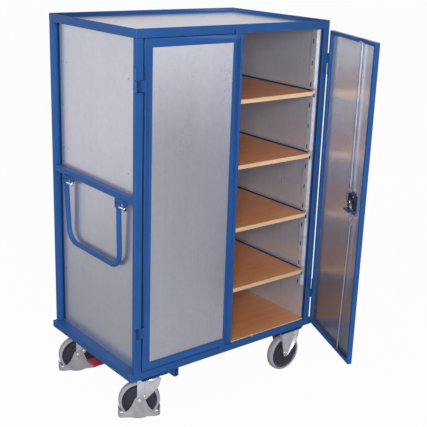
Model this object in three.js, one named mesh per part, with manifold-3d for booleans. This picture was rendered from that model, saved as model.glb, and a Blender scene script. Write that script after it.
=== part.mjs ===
// Transport trolley: a closed steel cabinet with two hinged doors and four shelves on a wheeled base.
// Millimetres, +Z up. The origin is the middle of the load floor's upper face.
// +X points to the end with the fixed wheels, -X to the end with the push bar, -Y to the doors.

import * as THREE from 'three';
import { mergeVertices } from 'three/addons/utils/BufferGeometryUtils.js';
import Module from 'manifold-3d';

const wasm = await Module();
wasm.setup();

// Fits and counts that every piece shares
const seat = 0.3; // gap between two pieces that touch
const overrun = 2; // how far a cut runs past the face that it leaves
const weldBite = 1; // how deep a welded-on piece bites into its carrier
const roundSides = 16; // sides of small round pieces
const wheelSides = 32; // sides of the wheels

// Carcass, over its four posts
const bodyLength = 1076; // along X
const bodyDepth = 716; // along Y
const postTall = 1476.4;
const postWide = 35; // along X
const postDeep = 22; // along Y
const postWall = 2;
const sheetThick = 1.2; // zinc sheet of the walls, the doors and the top
const panelRecess = 30; // side sheets behind the posts' outer faces
const backRecess = 11.8; // back sheet behind the posts' rear faces

// Base: four edge rails round the load floor
const baseOverhang = 19; // beyond the posts at both ends
const baseTall = 34;
const baseWall = 3;
const ledgeWide = 55; // inner ledge under the floor board
const boardThick = 19;
const boardProud = 5; // floor board above the edge rails
const boardEndGap = 2.3; // between the floor board and the end rails
const channelWide = 140; // web of the caster channels
const channelSlant = 9; // how far each channel side leans outward
const channelTall = 13.7;
const channelWall = 3;
const channelFromEnd = 135; // middle of the channels, from the base's ends
const channelInset = 1; // channel ends behind the rails' outer faces
const memberFromChannel = 115.5; // stiffening tube across the base, from the left channel's middle
const memberWide = 25;
const memberTall = 41;
const memberWall = 2;

// Top: a raised rim round a flat sheet
const rimTall = 38;
const rimWall = 3;
const rimLedge = 30;
const traySink = 22; // top sheet below the rim's upper edge

// Side rails at half height, with the push bar's brackets on the -X side
const railLevel = 794; // middle of the rail
const railTall = 28;
const railWall = 2;

// Push bar
const barRadius = 11.5;
const barSides = 12;
const barBend = 66; // centre-line radius of its two bends
const barBendSteps = 6;
const barInset = 1; // its plane behind the posts' outer faces
const legPlace = 227; // its two legs, from the middle
const legRise = 18; // leg above the pivot
const pivotDrop = 47; // pivot below the rail's middle
const gripDrop = 287; // centre of the lower cross bar below the pivot
const pivotRadius = 5;
const pivotHead = 9;
const pivotHeadThick = 5;
const earThick = 3;
const earNear = 16; // gap side of the ear beside the leg, from the leg's centre
const earFar = 47; // gap side of the far ear
const earInner = 22; // ear width from the pivot toward the cabinet
const earOuter = 15; // ear width from the pivot outward
const earRound = 12; // ear below the pivot

// Shelves on slotted uprights
const shelfCount = 4;
const shelfThick = 19;
const shelfDepth = 664;
const firstShelf = 267; // upper face of the lowest shelf
const slotPitch = 101;
const slotsPerShelf = 3;
const slotRise = 30; // slot centres above a shelf face
const slotTall = 22;
const slotWide = 8;
const slotInset = 13; // slot centre from the upright's inner edge
const uprightWeb = 32;
const uprightDeep = 12.9;
const uprightWall = 1.5;
const uprightFlange = 13;
const uprightFoot = 91; // upright's lower end below the lowest shelf face
const uprightHeadGap = 8;
const bearerWall = 2;
const bearerLip = 7; // above the shelf face
const bearerLedge = 30;

// Doors and their hinges
const hingeOut = 5.5; // hinge axis beyond the posts' outer corner, in X and in Y
const doorSideGap = 6; // between a post and the door's hinge edge
const doorTopGap = 2.5;
const doorFloorGap = 2.4; // above the load floor
const doorProud = 1; // door face in front of the posts' faces
const doorDeep = 22;
const doorSteel = 2;
const stileWide = 39;
const doorRailTall = 36;
const sheetMargin = 13; // door sheet inside the frame's outer edge
const meetingPlace = 15; // where the two doors meet
const meetingGap = 2;
const stripWide = 13; // closing strip on the left door's free edge
const stripWall = 2;
const rightDoorAngle = 67.2; // how far the right door stands open, in degrees
const knuckleRadius = 6.5;
const knuckleLong = 48;
const knuckleGap = 3.7;
const washerThick = 3.4;
const pinRadius = 4;
const upperHingeDrop = 161; // middle of the joint between both knuckles, below the door's top
const lowerHingeRise = 165; // above the load floor
const leafReach = 9; // leaf beyond the door's hinge edge
const leafThick = 3;
const leafStandOff = 1; // leaf in front of the post's face
const tabThick = 3;
const tabWide = 34;
const tabRise = 27;
const tabPlace = 31; // far edge of the upper tab from the frame's free edge
const lowTabWide = 32;
const lowTabDrop = 25;
const lowTabPlace = 59;
const tabFoot = 20; // how far a tab lies on the door frame

// Lock on the right door: u runs from the hinge axis to the free edge, v inward
const rodRadius = 5;
const rodInward = 13; // rods inside the case's hinge side
const rodPlaceV = 17;
const rodDip = 4.5; // upper rod's end below the door's top edge, unlocked
const rodLift = 4; // lower rod's end above the door's bottom edge, unlocked
const rodSlotWide = 73; // slot in the door's top leg
const rodSlotPast = 42; // how much of that slot lies beyond the rod
const strikeRadius = 6.5; // hole in the top rim for the upper rod
const strikeNotch = 15; // notch in the floor board's front edge for the lower rod
const caseFromFree = 155.5; // lock case's hinge side, from the door's free edge
const caseWide = 73;
const caseDeep = 34.7;
const caseBottom = 697;
const caseTall = 111;
const caseWall = 3;
const rodInCase = 38; // how far each rod reaches into the case
const bracketSteel = 3;
const bracketMargin = 9; // bracket beyond the case, above and below
const bracketArm = 50;
const spindleRadius = 6;
const spindlePlace = 38; // spindle from the case's hinge side
const camRadius = 13;
const camThick = 5;
const rosetteRadius = 24;
const rosetteThick = 8;
const gripLong = 112;
const gripTall = 20;
const gripThick = 12;

// Casters
const casterTall = 240; // from the plate's upper face to the ground
const swivelInward = 17; // swivel axes inward of the left channel's middle
const fixedOutward = 13; // fixed forks outward of the right channel's middle
const casterInset = 73; // casters' middle planes behind the base's long faces
const frontYaw = -28.5; // degrees that the front swivel fork is turned
const rearYaw = -20.5;
const plateLong = 135;
const plateWide = 110;
const plateThick = 3;
const raceRadius = 36;
const raceThick = 8;
const kingRadius = 8;
const kingNut = 13;
const kingNutThick = 6;
const crownRadius = 40;
const crownThick = 4;
const trail = 48.8;
const forkGap = 24; // fork leg's inner face from the wheel's middle plane
const legThick = 3;
const legBack = 12; // swivel leg behind the axle
const legLong = 108; // swivel leg's width at its top
const legNarrow = 45; // swivel leg's width just above the axle
const legTip = 18; // leg below the axle
const axleRadius = 6;
const axleHead = 9;
const axleHeadThick = 6;
const fixedTopHalf = 54;
const fixedTipHalf = 17;
const fixedFlangeTop = 22;
const fixedFlangeTip = 5;
const wheelRadius = 97.5;
const tyreHalf = 19.5;
const crownHalf = 12;
const rimRadius = 84.7;
const rimHalf = 16.5;
const rimInner = 64;
const discHalf = 9;
const hubRadius = 18;

// Foot guard round the front and rear swivel wheel
const guardHalfLong = 98;
const guardWall = 2.5;
const guardCorner = 20;
const guardAboveGround = 7;
const guardEndTall = 52;
const guardSideTall = 30;
const guardDome = 31;
const guardNotch = 22; // length of the taller ends along the guard's sides

// Brake pedal in the middle of the -X end
const shaftRadius = 8;
const shaftEndGap = 95; // from the shaft's ends to the swivel axes
const shaftOutward = 48; // shaft outward of the left channel's middle
const shaftDrop = 20; // shaft centre below the channel
const cheekThick = 4;
const cheekPlace = 70;
const cheekHalf = 15;
const pedalHalfWide = 42;
const pedalThick = 6;
const pedalLong = 62;
const pedalProud = 2; // pedal's outer edge beyond the base
const pedalDrop = 37; // pedal's upper face below the channel
const ribCount = 6;
const ribTall = 2.5;
const ribWide = 4;
const armThick = 6;
const armWide = 16;

// Places that follow from the sizes above
const halfLength = bodyLength / 2;
const halfDepth = bodyDepth / 2;
const baseHalf = halfLength + baseOverhang;
const baseTop = -boardProud;
const baseBottom = baseTop - baseTall;
const ledgeTop = -boardThick - seat;
const postInnerX = halfLength - postWide;
const postInnerY = halfDepth - postDeep;
const postBottom = baseTop + seat;
const postTop = postBottom + postTall;
const rimBottom = postTop + seat;
const rimTop = rimBottom + rimTall;
const panelOuter = halfLength - panelRecess;
const panelInner = panelOuter - sheetThick;
const backInner = halfDepth - backRecess - sheetThick;
const boardHalfX = postInnerX - seat;
const boardHalfY = backInner - seat;
const channelTop = baseBottom - seat;
const channelBottom = channelTop - channelTall;
const pivotLevel = railLevel - pivotDrop;
const legTop = pivotLevel + legRise;
const gripLevel = pivotLevel - gripDrop;
const barPlane = halfLength - barInset;
const channelPlace = baseHalf - channelFromEnd;
const memberPlace = memberFromChannel - channelPlace;
const uprightBack = panelInner - seat;
const uprightFace = uprightBack - uprightDeep;
const uprightInnerY = postInnerY - seat - uprightFlange - uprightWeb;
const bearerBack = uprightFace - seat;
const shelfHalfX = bearerBack - bearerWall - seat;
const shelfHalfY = shelfDepth / 2;
const axisX = halfLength + hingeOut;
const axisY = -halfDepth - hingeOut;
const doorNearU = axisX - postInnerX + doorSideGap;
const doorFace = hingeOut - doorProud; // door's outer face, from the axis inward
const doorBottom = doorFloorGap;
const doorTop = rimBottom - doorTopGap;
const upperHinge = doorTop - upperHingeDrop;
const lowerHinge = lowerHingeRise;
const rightFreeU = axisX - meetingPlace - meetingGap / 2;
const stripFreeU = axisX + meetingPlace - meetingGap / 2;
const leftFreeU = stripFreeU - stripWide;
const sheetFace = doorFace + doorSteel + seat;
const lockFace = sheetFace + sheetThick + seat;
const lockMiddle = caseBottom + caseTall / 2;
const caseNear = rightFreeU - caseFromFree;
const rodPlaceU = caseNear + rodInward;
const spindleU = caseNear + spindlePlace;
const plateTop = channelBottom - seat;
const plateBottom = plateTop - plateThick;
const groundLevel = plateTop - casterTall;
const axleLevel = groundLevel + wheelRadius * Math.cos(Math.PI / wheelSides);
const crownTop = plateBottom - raceThick - seat;
const crownBottom = crownTop - crownThick;
const legOuter = forkGap + legThick;
const guardInner = legOuter + seat;
const guardOuter = guardInner + guardWall;
const swivelPlaceX = channelPlace - swivelInward;
const fixedPlaceX = channelPlace + fixedOutward;
const casterPlaceY = halfDepth - casterInset;
const shaftPlaceX = channelPlace + shaftOutward;
const shaftHalfLong = casterPlaceY - shaftEndGap;
const shaftLevel = channelBottom - shaftDrop;
const pedalLevel = channelBottom - pedalDrop;
const pedalTip = baseHalf + pedalProud;

const blue = [0x315c9c, 0.45, 0.1];
const zinc = [0xbcb9c6, 0.42, 0.75];
const galvanised = [0xa9abb4, 0.5, 0.8];
const beech = [0xa8704a, 0.55, 0];
const tyre = [0x9a94a0, 0.75, 0];
const pressed = [0xc4c3c8, 0.4, 0.8];
const guardSteel = [0x9c9ca4, 0.45, 0.5];
const chromed = [0xd0cfd4, 0.2, 0.9];
const black = [0x17171c, 0.5, 0.2];
const red = [0xa01c38, 0.45, 0];

// Turns a closed three.js geometry into a solid that can be joined and cut
function toSolid(geometry) {
  const bare = geometry.clone();
  bare.deleteAttribute('normal');
  bare.deleteAttribute('uv');
  const merged = mergeVertices(bare);
  const vertProperties = Float32Array.from(merged.attributes.position.array);
  const triVerts = Uint32Array.from(merged.index.array);
  return new wasm.Manifold(new wasm.Mesh({ numProp: 3, vertProperties, triVerts }));
}

// Turns a solid back into a mesh with its own material
function piece(name, solid, [color, roughness, metalness]) {
  const shape = solid.getMesh();
  const geometry = new THREE.BufferGeometry();
  geometry.setAttribute('position', new THREE.BufferAttribute(shape.vertProperties, 3));
  geometry.setIndex(new THREE.BufferAttribute(shape.triVerts, 1));
  geometry.computeVertexNormals();
  const material = new THREE.MeshStandardMaterial({ color, roughness, metalness });
  const mesh = new THREE.Mesh(geometry, material);
  mesh.name = name;
  return mesh;
}

function join(solids) {
  return solids.reduce((whole, solid) => whole.add(solid));
}

function cut(solid, tools) {
  return tools.reduce((rest, tool) => rest.subtract(tool), solid);
}

// A box between two values on each axis, in either order
function block(xA, xB, yA, yB, zA, zB) {
  const box = new THREE.BoxGeometry(Math.abs(xB - xA), Math.abs(yB - yA), Math.abs(zB - zA));
  box.translate((xA + xB) / 2, (yA + yB) / 2, (zA + zB) / 2);
  return toSolid(box);
}

const unitX = new THREE.Vector3(1, 0, 0);
const unitY = new THREE.Vector3(0, 1, 0);
const unitZ = new THREE.Vector3(0, 0, 1);

function extrude(shape, depth) {
  const outline = shape instanceof THREE.Shape ? shape : new THREE.Shape(shape.map(toPoint));
  return new THREE.ExtrudeGeometry(outline, { depth, bevelEnabled: false, curveSegments: roundSides / 2 });
}

function toPoint([across, up]) {
  return new THREE.Vector2(across, up);
}

// An outline in X and Z, drawn out along Y
function prismY(shape, yA, yB) {
  const solid = extrude(shape, yB - yA);
  solid.applyMatrix4(new THREE.Matrix4().makeBasis(unitX, unitZ, unitY.clone().negate()));
  solid.translate(0, yB, 0);
  return toSolid(solid);
}

// An outline in X and Y, drawn out along Z
function prismZ(shape, zA, zB) {
  const solid = extrude(shape, zB - zA);
  solid.translate(0, 0, zA);
  return toSolid(solid);
}

function rodAlongY(radius, yA, yB, x, z) {
  const rod = new THREE.CylinderGeometry(radius, radius, Math.abs(yB - yA), roundSides);
  rod.translate(x, (yA + yB) / 2, z);
  return toSolid(rod);
}

function rodAlongZ(radius, zA, zB, x, y) {
  const rod = new THREE.CylinderGeometry(radius, radius, Math.abs(zB - zA), roundSides);
  rod.rotateX(Math.PI / 2);
  rod.translate(x, y, (zA + zB) / 2);
  return toSolid(rod);
}

// Radius of a many-sided hole whose flats clear a round pin by the seat gap
function boreFor(radius, sides = roundSides) {
  return (radius + seat) / Math.cos(Math.PI / sides);
}

// A rectangular tube that is open at both ends, along Z
function tubeAlongZ(xA, xB, yA, yB, zA, zB, wall) {
  const inX = Math.sign(xB - xA) * wall;
  const inY = Math.sign(yB - yA) * wall;
  const hollow = block(xA + inX, xB - inX, yA + inY, yB - inY, zA - overrun, zB + overrun);
  return cut(block(xA, xB, yA, yB, zA, zB), [hollow]);
}

// Base

function longRail(side) {
  const outer = side * halfDepth;
  const inner = side * (halfDepth - baseWall);
  const ledgeEnd = side * (halfDepth - baseWall - ledgeWide);
  const ledgeHalf = baseHalf - baseWall - seat;
  const face = block(-baseHalf, baseHalf, outer, inner, baseBottom, baseTop);
  const ledge = block(-ledgeHalf, ledgeHalf, inner + side * weldBite, ledgeEnd,
    ledgeTop - baseWall, ledgeTop);
  return face.add(ledge);
}

function endRail(side) {
  const half = halfDepth - baseWall - seat;
  const outer = side * baseHalf;
  const face = block(outer, outer - side * baseWall, -half, half, baseBottom, baseTop);
  const shelf = block(outer, side * (boardHalfX + boardEndGap), -half, half, baseTop - baseWall, baseTop);
  return face.add(shelf);
}

function floorBoard() {
  const board = block(-boardHalfX, boardHalfX, -boardHalfY, boardHalfY, -boardThick, 0);
  const rodX = axisX - rodPlaceU;
  const rodY = axisY + rodPlaceV;
  const notchEnd = rodY + strikeRadius;
  const half = strikeNotch / 2;
  const notch = block(rodX - half, rodX + half, -boardHalfY - overrun, notchEnd,
    -boardThick - overrun, overrun);
  return cut(board, [notch]);
}

function casterChannel(middle) {
  const web = channelWide / 2;
  const top = web + channelSlant;
  const lean = channelWall;
  const outline = [
    [-top, channelTop], [-web, channelBottom], [web, channelBottom], [top, channelTop],
    [top - lean, channelTop], [web - lean, channelBottom + channelWall],
    [lean - web, channelBottom + channelWall], [lean - top, channelTop],
  ];
  const placed = outline.map(([x, z]) => [x + middle, z]);
  return prismY(placed, channelInset - halfDepth, halfDepth - channelInset);
}

// The cheeks that carry the brake shaft are welded under the channel of the swivel casters
function shaftCheek(y) {
  const outline = new THREE.Shape();
  outline.moveTo(-shaftPlaceX - cheekHalf, channelBottom + weldBite);
  outline.lineTo(-shaftPlaceX - cheekHalf, shaftLevel);
  outline.absarc(-shaftPlaceX, shaftLevel, cheekHalf, Math.PI, 2 * Math.PI, false);
  outline.lineTo(-shaftPlaceX + cheekHalf, channelBottom + weldBite);
  const plate = prismY(outline, y - cheekThick / 2, y + cheekThick / 2);
  const bore = rodAlongY(boreFor(shaftRadius), y - cheekThick, y + cheekThick, -shaftPlaceX, shaftLevel);
  return cut(plate, [bore]);
}

function brakeChannel() {
  return join([casterChannel(-channelPlace), shaftCheek(-cheekPlace), shaftCheek(cheekPlace)]);
}

function crossMember() {
  const xA = memberPlace - memberWide / 2;
  const xB = memberPlace + memberWide / 2;
  const zA = channelTop - memberTall;
  const half = halfDepth - channelInset;
  const hollow = block(xA + memberWall, xB - memberWall, -half - overrun, half + overrun,
    zA + memberWall, channelTop - memberWall);
  return cut(block(xA, xB, -half, half, zA, channelTop), [hollow]);
}

// Carcass

function post(sideX, sideY) {
  return tubeAlongZ(sideX * halfLength, sideX * postInnerX, sideY * halfDepth, sideY * postInnerY,
    postBottom, postTop, postWall);
}

// Fixed half of a hinge: a knuckle on the post's corner, its pin and, below, a washer
function fixedKnuckle(side, level, upward) {
  const x = side * axisX;
  const start = level - upward * knuckleGap / 2;
  const end = start - upward * knuckleLong;
  const pinEnd = level + upward * (knuckleGap / 2 + knuckleLong);
  const washerEnd = start + upward * washerThick;
  const bite = side * (halfLength - 2 * weldBite);
  return join([
    rodAlongZ(knuckleRadius, start, end, x, axisY),
    block(x, bite, axisY, weldBite - halfDepth, start, end),
    rodAlongZ(pinRadius, start - upward * weldBite, pinEnd, x, axisY),
    rodAlongZ(knuckleRadius, start - upward * weldBite, washerEnd, x, axisY),
  ]);
}

function frontPost(side) {
  return join([post(side, -1), fixedKnuckle(side, upperHinge, -1), fixedKnuckle(side, lowerHinge, 1)]);
}

function topRim() {
  const wallX = halfLength - rimWall;
  const wallY = halfDepth - rimWall;
  const ledgeX = wallX - rimLedge;
  const ledgeY = wallY - rimLedge;
  const ledgeTopZ = rimBottom + rimWall;
  const outer = block(-halfLength, halfLength, -halfDepth, halfDepth, rimBottom, rimTop);
  return cut(outer, [
    block(-wallX, wallX, -wallY, wallY, ledgeTopZ, rimTop + overrun),
    block(-ledgeX, ledgeX, -ledgeY, ledgeY, rimBottom - overrun, rimTop + overrun),
    rodAlongZ(strikeRadius, rimBottom - overrun, ledgeTopZ + overrun, axisX - rodPlaceU, axisY + rodPlaceV),
  ]);
}

function topSheet() {
  const x = halfLength - rimWall - seat;
  const y = halfDepth - rimWall - seat;
  const zA = rimBottom + rimWall + seat;
  const zB = rimTop - traySink;
  const inX = x - sheetThick;
  const inY = y - sheetThick;
  return cut(block(-x, x, -y, y, zA, zB), [block(-inX, inX, -inY, inY, zA - overrun, zB - sheetThick)]);
}

function sidePanel(side) {
  const half = postInnerY - seat;
  return block(side * panelOuter, side * panelInner, -half, half, postBottom, postTop);
}

function backPanel() {
  return block(-boardHalfX, boardHalfX, backInner, backInner + sheetThick, postBottom, postTop);
}

function sideRail(side) {
  const half = postInnerY - seat;
  const outer = side * halfLength;
  const inner = side * (panelOuter + seat);
  const low = railLevel - railTall / 2;
  const high = railLevel + railTall / 2;
  const hollow = block(outer - side * railWall, inner + side * railWall, -half - overrun, half + overrun,
    low + railWall, high - railWall);
  return cut(block(outer, inner, -half, half, low, high), [hollow]);
}

// One bracket of the push bar: a short roof under the rail with two ears
function barBracket(legY) {
  const roof = railLevel - railTall / 2 + weldBite;
  const near = legY + earNear;
  const far = legY - earFar;
  const ear = new THREE.Shape();
  ear.moveTo(-barPlane - earOuter, roof);
  ear.lineTo(-barPlane - earOuter, pivotLevel);
  ear.absarc(-barPlane, pivotLevel, earRound, Math.PI, 2 * Math.PI, false);
  ear.lineTo(-barPlane + earInner, roof - earThick - weldBite);
  ear.lineTo(-barPlane + earInner, roof);
  const xA = -barPlane - earOuter;
  const xB = -barPlane + earInner;
  const roofPlate = block(xA, xB, far - earThick, near + earThick, roof - earThick - weldBite, roof);
  const bore = rodAlongY(boreFor(pivotRadius), far - earThick - overrun, near + earThick + overrun,
    -barPlane, pivotLevel);
  const ears = [prismY(ear, near, near + earThick), prismY(ear, far - earThick, far)];
  return cut(join([roofPlate, ...ears]), [bore]);
}

function barRail() {
  return join([sideRail(-1), barBracket(-legPlace), barBracket(legPlace)]);
}

// Shelves

function shelfLevel(index) {
  return firstShelf + index * slotsPerShelf * slotPitch;
}

function shelfBoard(level) {
  return block(-shelfHalfX, shelfHalfX, -shelfHalfY, shelfHalfY, level - shelfThick, level);
}

function shelfBearer(side, level) {
  const under = level - shelfThick - seat;
  const back = side * bearerBack;
  const low = under - bearerWall;
  const leg = block(back, back - side * bearerWall, -shelfHalfY, shelfHalfY, low, level + bearerLip);
  const ledge = block(back, back - side * bearerLedge, -shelfHalfY, shelfHalfY, low, under);
  return leg.add(ledge);
}

// A slotted upright: a web, two legs back to the side sheet and a flange beside the post
function upright(sideX, sideY) {
  const edge = uprightInnerY;
  const far = edge + uprightWeb;
  const end = far + uprightFlange;
  const wall = uprightWall;
  const outline = [
    [uprightBack, edge], [uprightFace, edge], [uprightFace, far], [uprightBack - wall, far],
    [uprightBack - wall, end], [uprightBack, end], [uprightBack, far - wall],
    [uprightFace + wall, far - wall], [uprightFace + wall, edge + wall], [uprightBack, edge + wall],
  ];
  const placed = outline.map(([x, y]) => [sideX * x, sideY * y]);
  const bottom = firstShelf - uprightFoot;
  const top = postTop - uprightHeadGap;
  const slots = [];
  const slotY = sideY * (edge + slotInset);
  for (let level = firstShelf + slotRise - slotPitch; level + slotTall < top; level += slotPitch) {
    slots.push(block(sideX * (uprightFace - overrun), sideX * (uprightFace + wall + overrun),
      slotY - slotWide / 2, slotY + slotWide / 2, level - slotTall / 2, level + slotTall / 2));
  }
  return cut(prismZ(placed, bottom, top), slots);
}

// Doors, drawn closed with their hinge axis at x = 0 and y = 0; dir is the way to the free edge

function doorKnuckle(dir, level, upward) {
  const start = level + upward * knuckleGap / 2;
  const end = start + upward * knuckleLong;
  const leafBack = hingeOut - leafStandOff;
  return join([
    rodAlongZ(knuckleRadius, start, end, 0, 0),
    block(0, dir * (doorNearU + leafReach), leafBack - leafThick, leafBack, start, end),
    block(dir * doorNearU, dir * (doorNearU + leafReach), leafBack - weldBite, doorFace + weldBite,
      start, end),
  ]);
}

function doorFrame(dir, freeU) {
  const near = dir * doorNearU;
  const far = dir * freeU;
  const back = doorFace + doorDeep;
  const behind = doorFace + doorSteel;
  const lining = dir * doorSteel;
  const border = dir * stileWide;
  const slab = block(near, far, doorFace, back, doorBottom, doorTop);
  const inside = block(near + lining, far - lining, behind, back + overrun,
    doorBottom + doorSteel, doorTop - doorSteel);
  const opening = block(near + border, far - border, doorFace - overrun, back + overrun,
    doorBottom + doorRailTall, doorTop - doorRailTall);
  const knuckles = join([doorKnuckle(dir, upperHinge, -1), doorKnuckle(dir, lowerHinge, 1)]);
  const bore = rodAlongZ(boreFor(pinRadius), doorBottom, doorTop, 0, 0);
  return cut(cut(slab, [inside, opening]).add(knuckles), [bore]);
}

function doorSheet(dir, freeU) {
  const xA = dir * (doorNearU + sheetMargin);
  const xB = dir * (freeU - sheetMargin);
  return block(xA, xB, sheetFace, sheetFace + sheetThick, doorBottom + sheetMargin, doorTop - sheetMargin);
}

// Stop tabs that lie in front of the top rim and of the base, welded to the left door
function leftDoorFrame() {
  const back = hingeOut - seat;
  const front = back - tabThick;
  const upperA = leftFreeU - tabPlace;
  const lowerA = leftFreeU - lowTabPlace;
  return join([
    doorFrame(1, leftFreeU),
    block(upperA, leftFreeU, front, back, doorTop - tabFoot, doorTop + tabRise),
    block(upperA, upperA + tabWide, front, back, doorTop + seat, doorTop + tabRise),
    block(lowerA, lowerA + lowTabWide, front, back, doorBottom - lowTabDrop, doorBottom + tabFoot),
  ]);
}

function closingStrip() {
  const near = leftFreeU + seat;
  const back = doorFace + doorDeep;
  const face = block(near, stripFreeU, doorFace, doorFace + stripWall, doorBottom, doorTop);
  return face.add(block(near, near + stripWall, doorFace, back, doorBottom, doorTop));
}

function rightDoorFrame() {
  const slotA = -rodPlaceU - rodSlotPast;
  const depth = rodRadius + seat;
  const slot = block(slotA, slotA + rodSlotWide, rodPlaceV - depth, rodPlaceV + depth,
    doorTop - doorSteel - overrun, doorTop + overrun);
  const hole = rodAlongZ(boreFor(rodRadius), doorBottom - overrun, doorBottom + doorSteel + overrun,
    -rodPlaceU, rodPlaceV);
  return cut(doorFrame(-1, rightFreeU), [slot, hole]);
}

function rightDoorSheet() {
  const hole = rodAlongY(boreFor(spindleRadius), sheetFace - overrun, sheetFace + sheetThick + overrun,
    -spindleU, lockMiddle);
  return cut(doorSheet(-1, rightFreeU), [hole]);
}

// Lock

function lockCase() {
  const far = caseNear + caseWide;
  const back = lockFace + caseDeep;
  const top = caseBottom + caseTall;
  const shell = block(-caseNear, -far, lockFace, back, caseBottom, top);
  const hollow = block(-caseNear - caseWall, caseWall - far, lockFace - overrun, back - caseWall,
    caseBottom + caseWall, top - caseWall);
  const rodHoles = rodAlongZ(boreFor(rodRadius), caseBottom - overrun, top + overrun,
    -rodPlaceU, rodPlaceV);
  return cut(shell, [hollow, rodHoles]);
}

// A folded plate beside the case, with an arm above it and one below it
function lockBracket() {
  const side = caseNear + caseWide + seat;
  const back = lockFace + caseDeep;
  const low = caseBottom - bracketMargin;
  const high = caseBottom + caseTall + bracketMargin;
  const armEnd = side - bracketArm;
  const outer = block(-armEnd, -side - bracketSteel, lockFace, back, low, high);
  const inner = block(overrun - armEnd, -side, lockFace - overrun, back + overrun, low + bracketSteel,
    high - bracketSteel);
  return cut(outer, [inner]);
}

function upperRod() {
  return rodAlongZ(rodRadius, caseBottom + caseTall - rodInCase, doorTop - rodDip, -rodPlaceU, rodPlaceV);
}

function lowerRod() {
  return rodAlongZ(rodRadius, doorBottom + rodLift, caseBottom + rodInCase, -rodPlaceU, rodPlaceV);
}

// Turning handle outside, its spindle through the sheet and the cam in the case
function lockHandle() {
  const rosetteBack = doorFace - seat;
  const rosetteFront = rosetteBack - rosetteThick;
  const camBack = lockFace + caseDeep - caseWall - seat;
  const gripBack = rosetteFront + weldBite;
  const gripEnd = spindleU - gripLong + rosetteRadius;
  return join([
    rodAlongY(rosetteRadius, rosetteFront, rosetteBack, -spindleU, lockMiddle),
    rodAlongY(spindleRadius, rosetteBack - weldBite, camBack, -spindleU, lockMiddle),
    rodAlongY(camRadius, camBack - camThick, camBack, -spindleU, lockMiddle),
    block(-gripEnd, -spindleU - gripTall / 2, gripBack - gripThick, gripBack,
      lockMiddle - gripTall / 2, lockMiddle + gripTall / 2),
  ]);
}

// Push bar

// Centre line of a bent tube that samples its straights once and its bends evenly
class BentLine extends THREE.Curve {
  constructor(points) {
    super();
    this.points = points;
  }

  getPointAt(share, target = new THREE.Vector3()) {
    return target.copy(this.points[Math.round(share * (this.points.length - 1))]);
  }

  getTangentAt(share, target = new THREE.Vector3()) {
    const last = this.points.length - 1;
    const here = Math.round(share * last);
    const before = this.points[Math.max(here - 1, 0)];
    const after = this.points[Math.min(here + 1, last)];
    const into = this.points[here].clone().sub(before).normalize();
    const out = after.clone().sub(this.points[here]).normalize();
    return target.copy(into.add(out)).normalize();
  }
}

// Points of the stowed bar, from the top of one leg round to the top of the other
function barLine() {
  const low = gripLevel + barBend;
  const points = [new THREE.Vector3(-barPlane, -legPlace, legTop)];
  for (const side of [-1, 1]) {
    const middle = side * (legPlace - barBend);
    for (let step = 0; step <= barBendSteps; step += 1) {
      const turn = side < 0 ? step : barBendSteps - step;
      const angle = turn / barBendSteps * Math.PI / 2;
      const across = middle + side * barBend * Math.cos(angle);
      points.push(new THREE.Vector3(-barPlane, across, low - barBend * Math.sin(angle)));
    }
  }
  points.push(new THREE.Vector3(-barPlane, legPlace, legTop));
  return points;
}

function pushBar() {
  const section = new THREE.Shape();
  section.absarc(0, 0, barRadius, 0, 2 * Math.PI, false);
  const points = barLine();
  const tube = new THREE.ExtrudeGeometry(section, {
    steps: points.length - 1, extrudePath: new BentLine(points), curveSegments: barSides,
  });
  const solids = [toSolid(tube)];
  for (const legY of [-legPlace, legPlace]) {
    const nearFace = legY + earNear + earThick + seat;
    const farFace = legY - earFar - earThick - seat;
    const nearEnd = nearFace + pivotHeadThick;
    const farEnd = farFace - pivotHeadThick;
    solids.push(rodAlongY(pivotRadius, farEnd, nearEnd, -barPlane, pivotLevel));
    solids.push(rodAlongY(pivotHead, nearFace, nearEnd, -barPlane, pivotLevel));
    solids.push(rodAlongY(pivotHead, farEnd, farFace, -barPlane, pivotLevel));
  }
  return join(solids);
}

// Casters, drawn with their swivel axis or their middle at x = 0 and y = 0

function swivelPlate() {
  return join([
    block(-plateLong / 2, plateLong / 2, -plateWide / 2, plateWide / 2, plateBottom, plateTop),
    rodAlongZ(raceRadius, plateBottom - raceThick, plateTop - weldBite, 0, 0),
    rodAlongZ(kingRadius, crownBottom - seat - kingNutThick, plateTop - weldBite, 0, 0),
    rodAlongZ(kingNut, crownBottom - seat - kingNutThick, crownBottom - seat, 0, 0),
  ]);
}

function axle(x, reach) {
  const end = reach + seat + axleHeadThick;
  return join([
    rodAlongY(axleRadius, -end, end, x, axleLevel),
    rodAlongY(axleHead, -end, -reach - seat, x, axleLevel),
    rodAlongY(axleHead, reach + seat, end, x, axleLevel),
  ]);
}

function swivelLeg(yA, yB) {
  const back = -trail - legBack;
  const tipTurn = Math.PI / 6;
  const leg = new THREE.Shape();
  leg.moveTo(back, crownTop);
  leg.lineTo(back, axleLevel);
  leg.absarc(-trail, axleLevel, legTip, Math.PI + tipTurn, 2 * Math.PI - tipTurn, false);
  leg.lineTo(back + legNarrow, axleLevel + legTip);
  leg.lineTo(back + legLong, crownBottom - legTip);
  leg.lineTo(back + legLong, crownTop);
  return prismY(leg, yA, yB);
}

function swivelFork() {
  const back = -trail - legBack;
  const crown = join([
    rodAlongZ(crownRadius, crownBottom, crownTop, 0, 0),
    block(back, back + legLong, -legOuter, legOuter, crownBottom, crownTop),
  ]);
  const bore = rodAlongZ(boreFor(kingRadius), crownBottom - overrun, crownTop + overrun, 0, 0);
  return join([
    cut(crown, [bore]),
    swivelLeg(-legOuter, -forkGap),
    swivelLeg(forkGap, legOuter),
    axle(-trail, guardOuter),
  ]);
}

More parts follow.
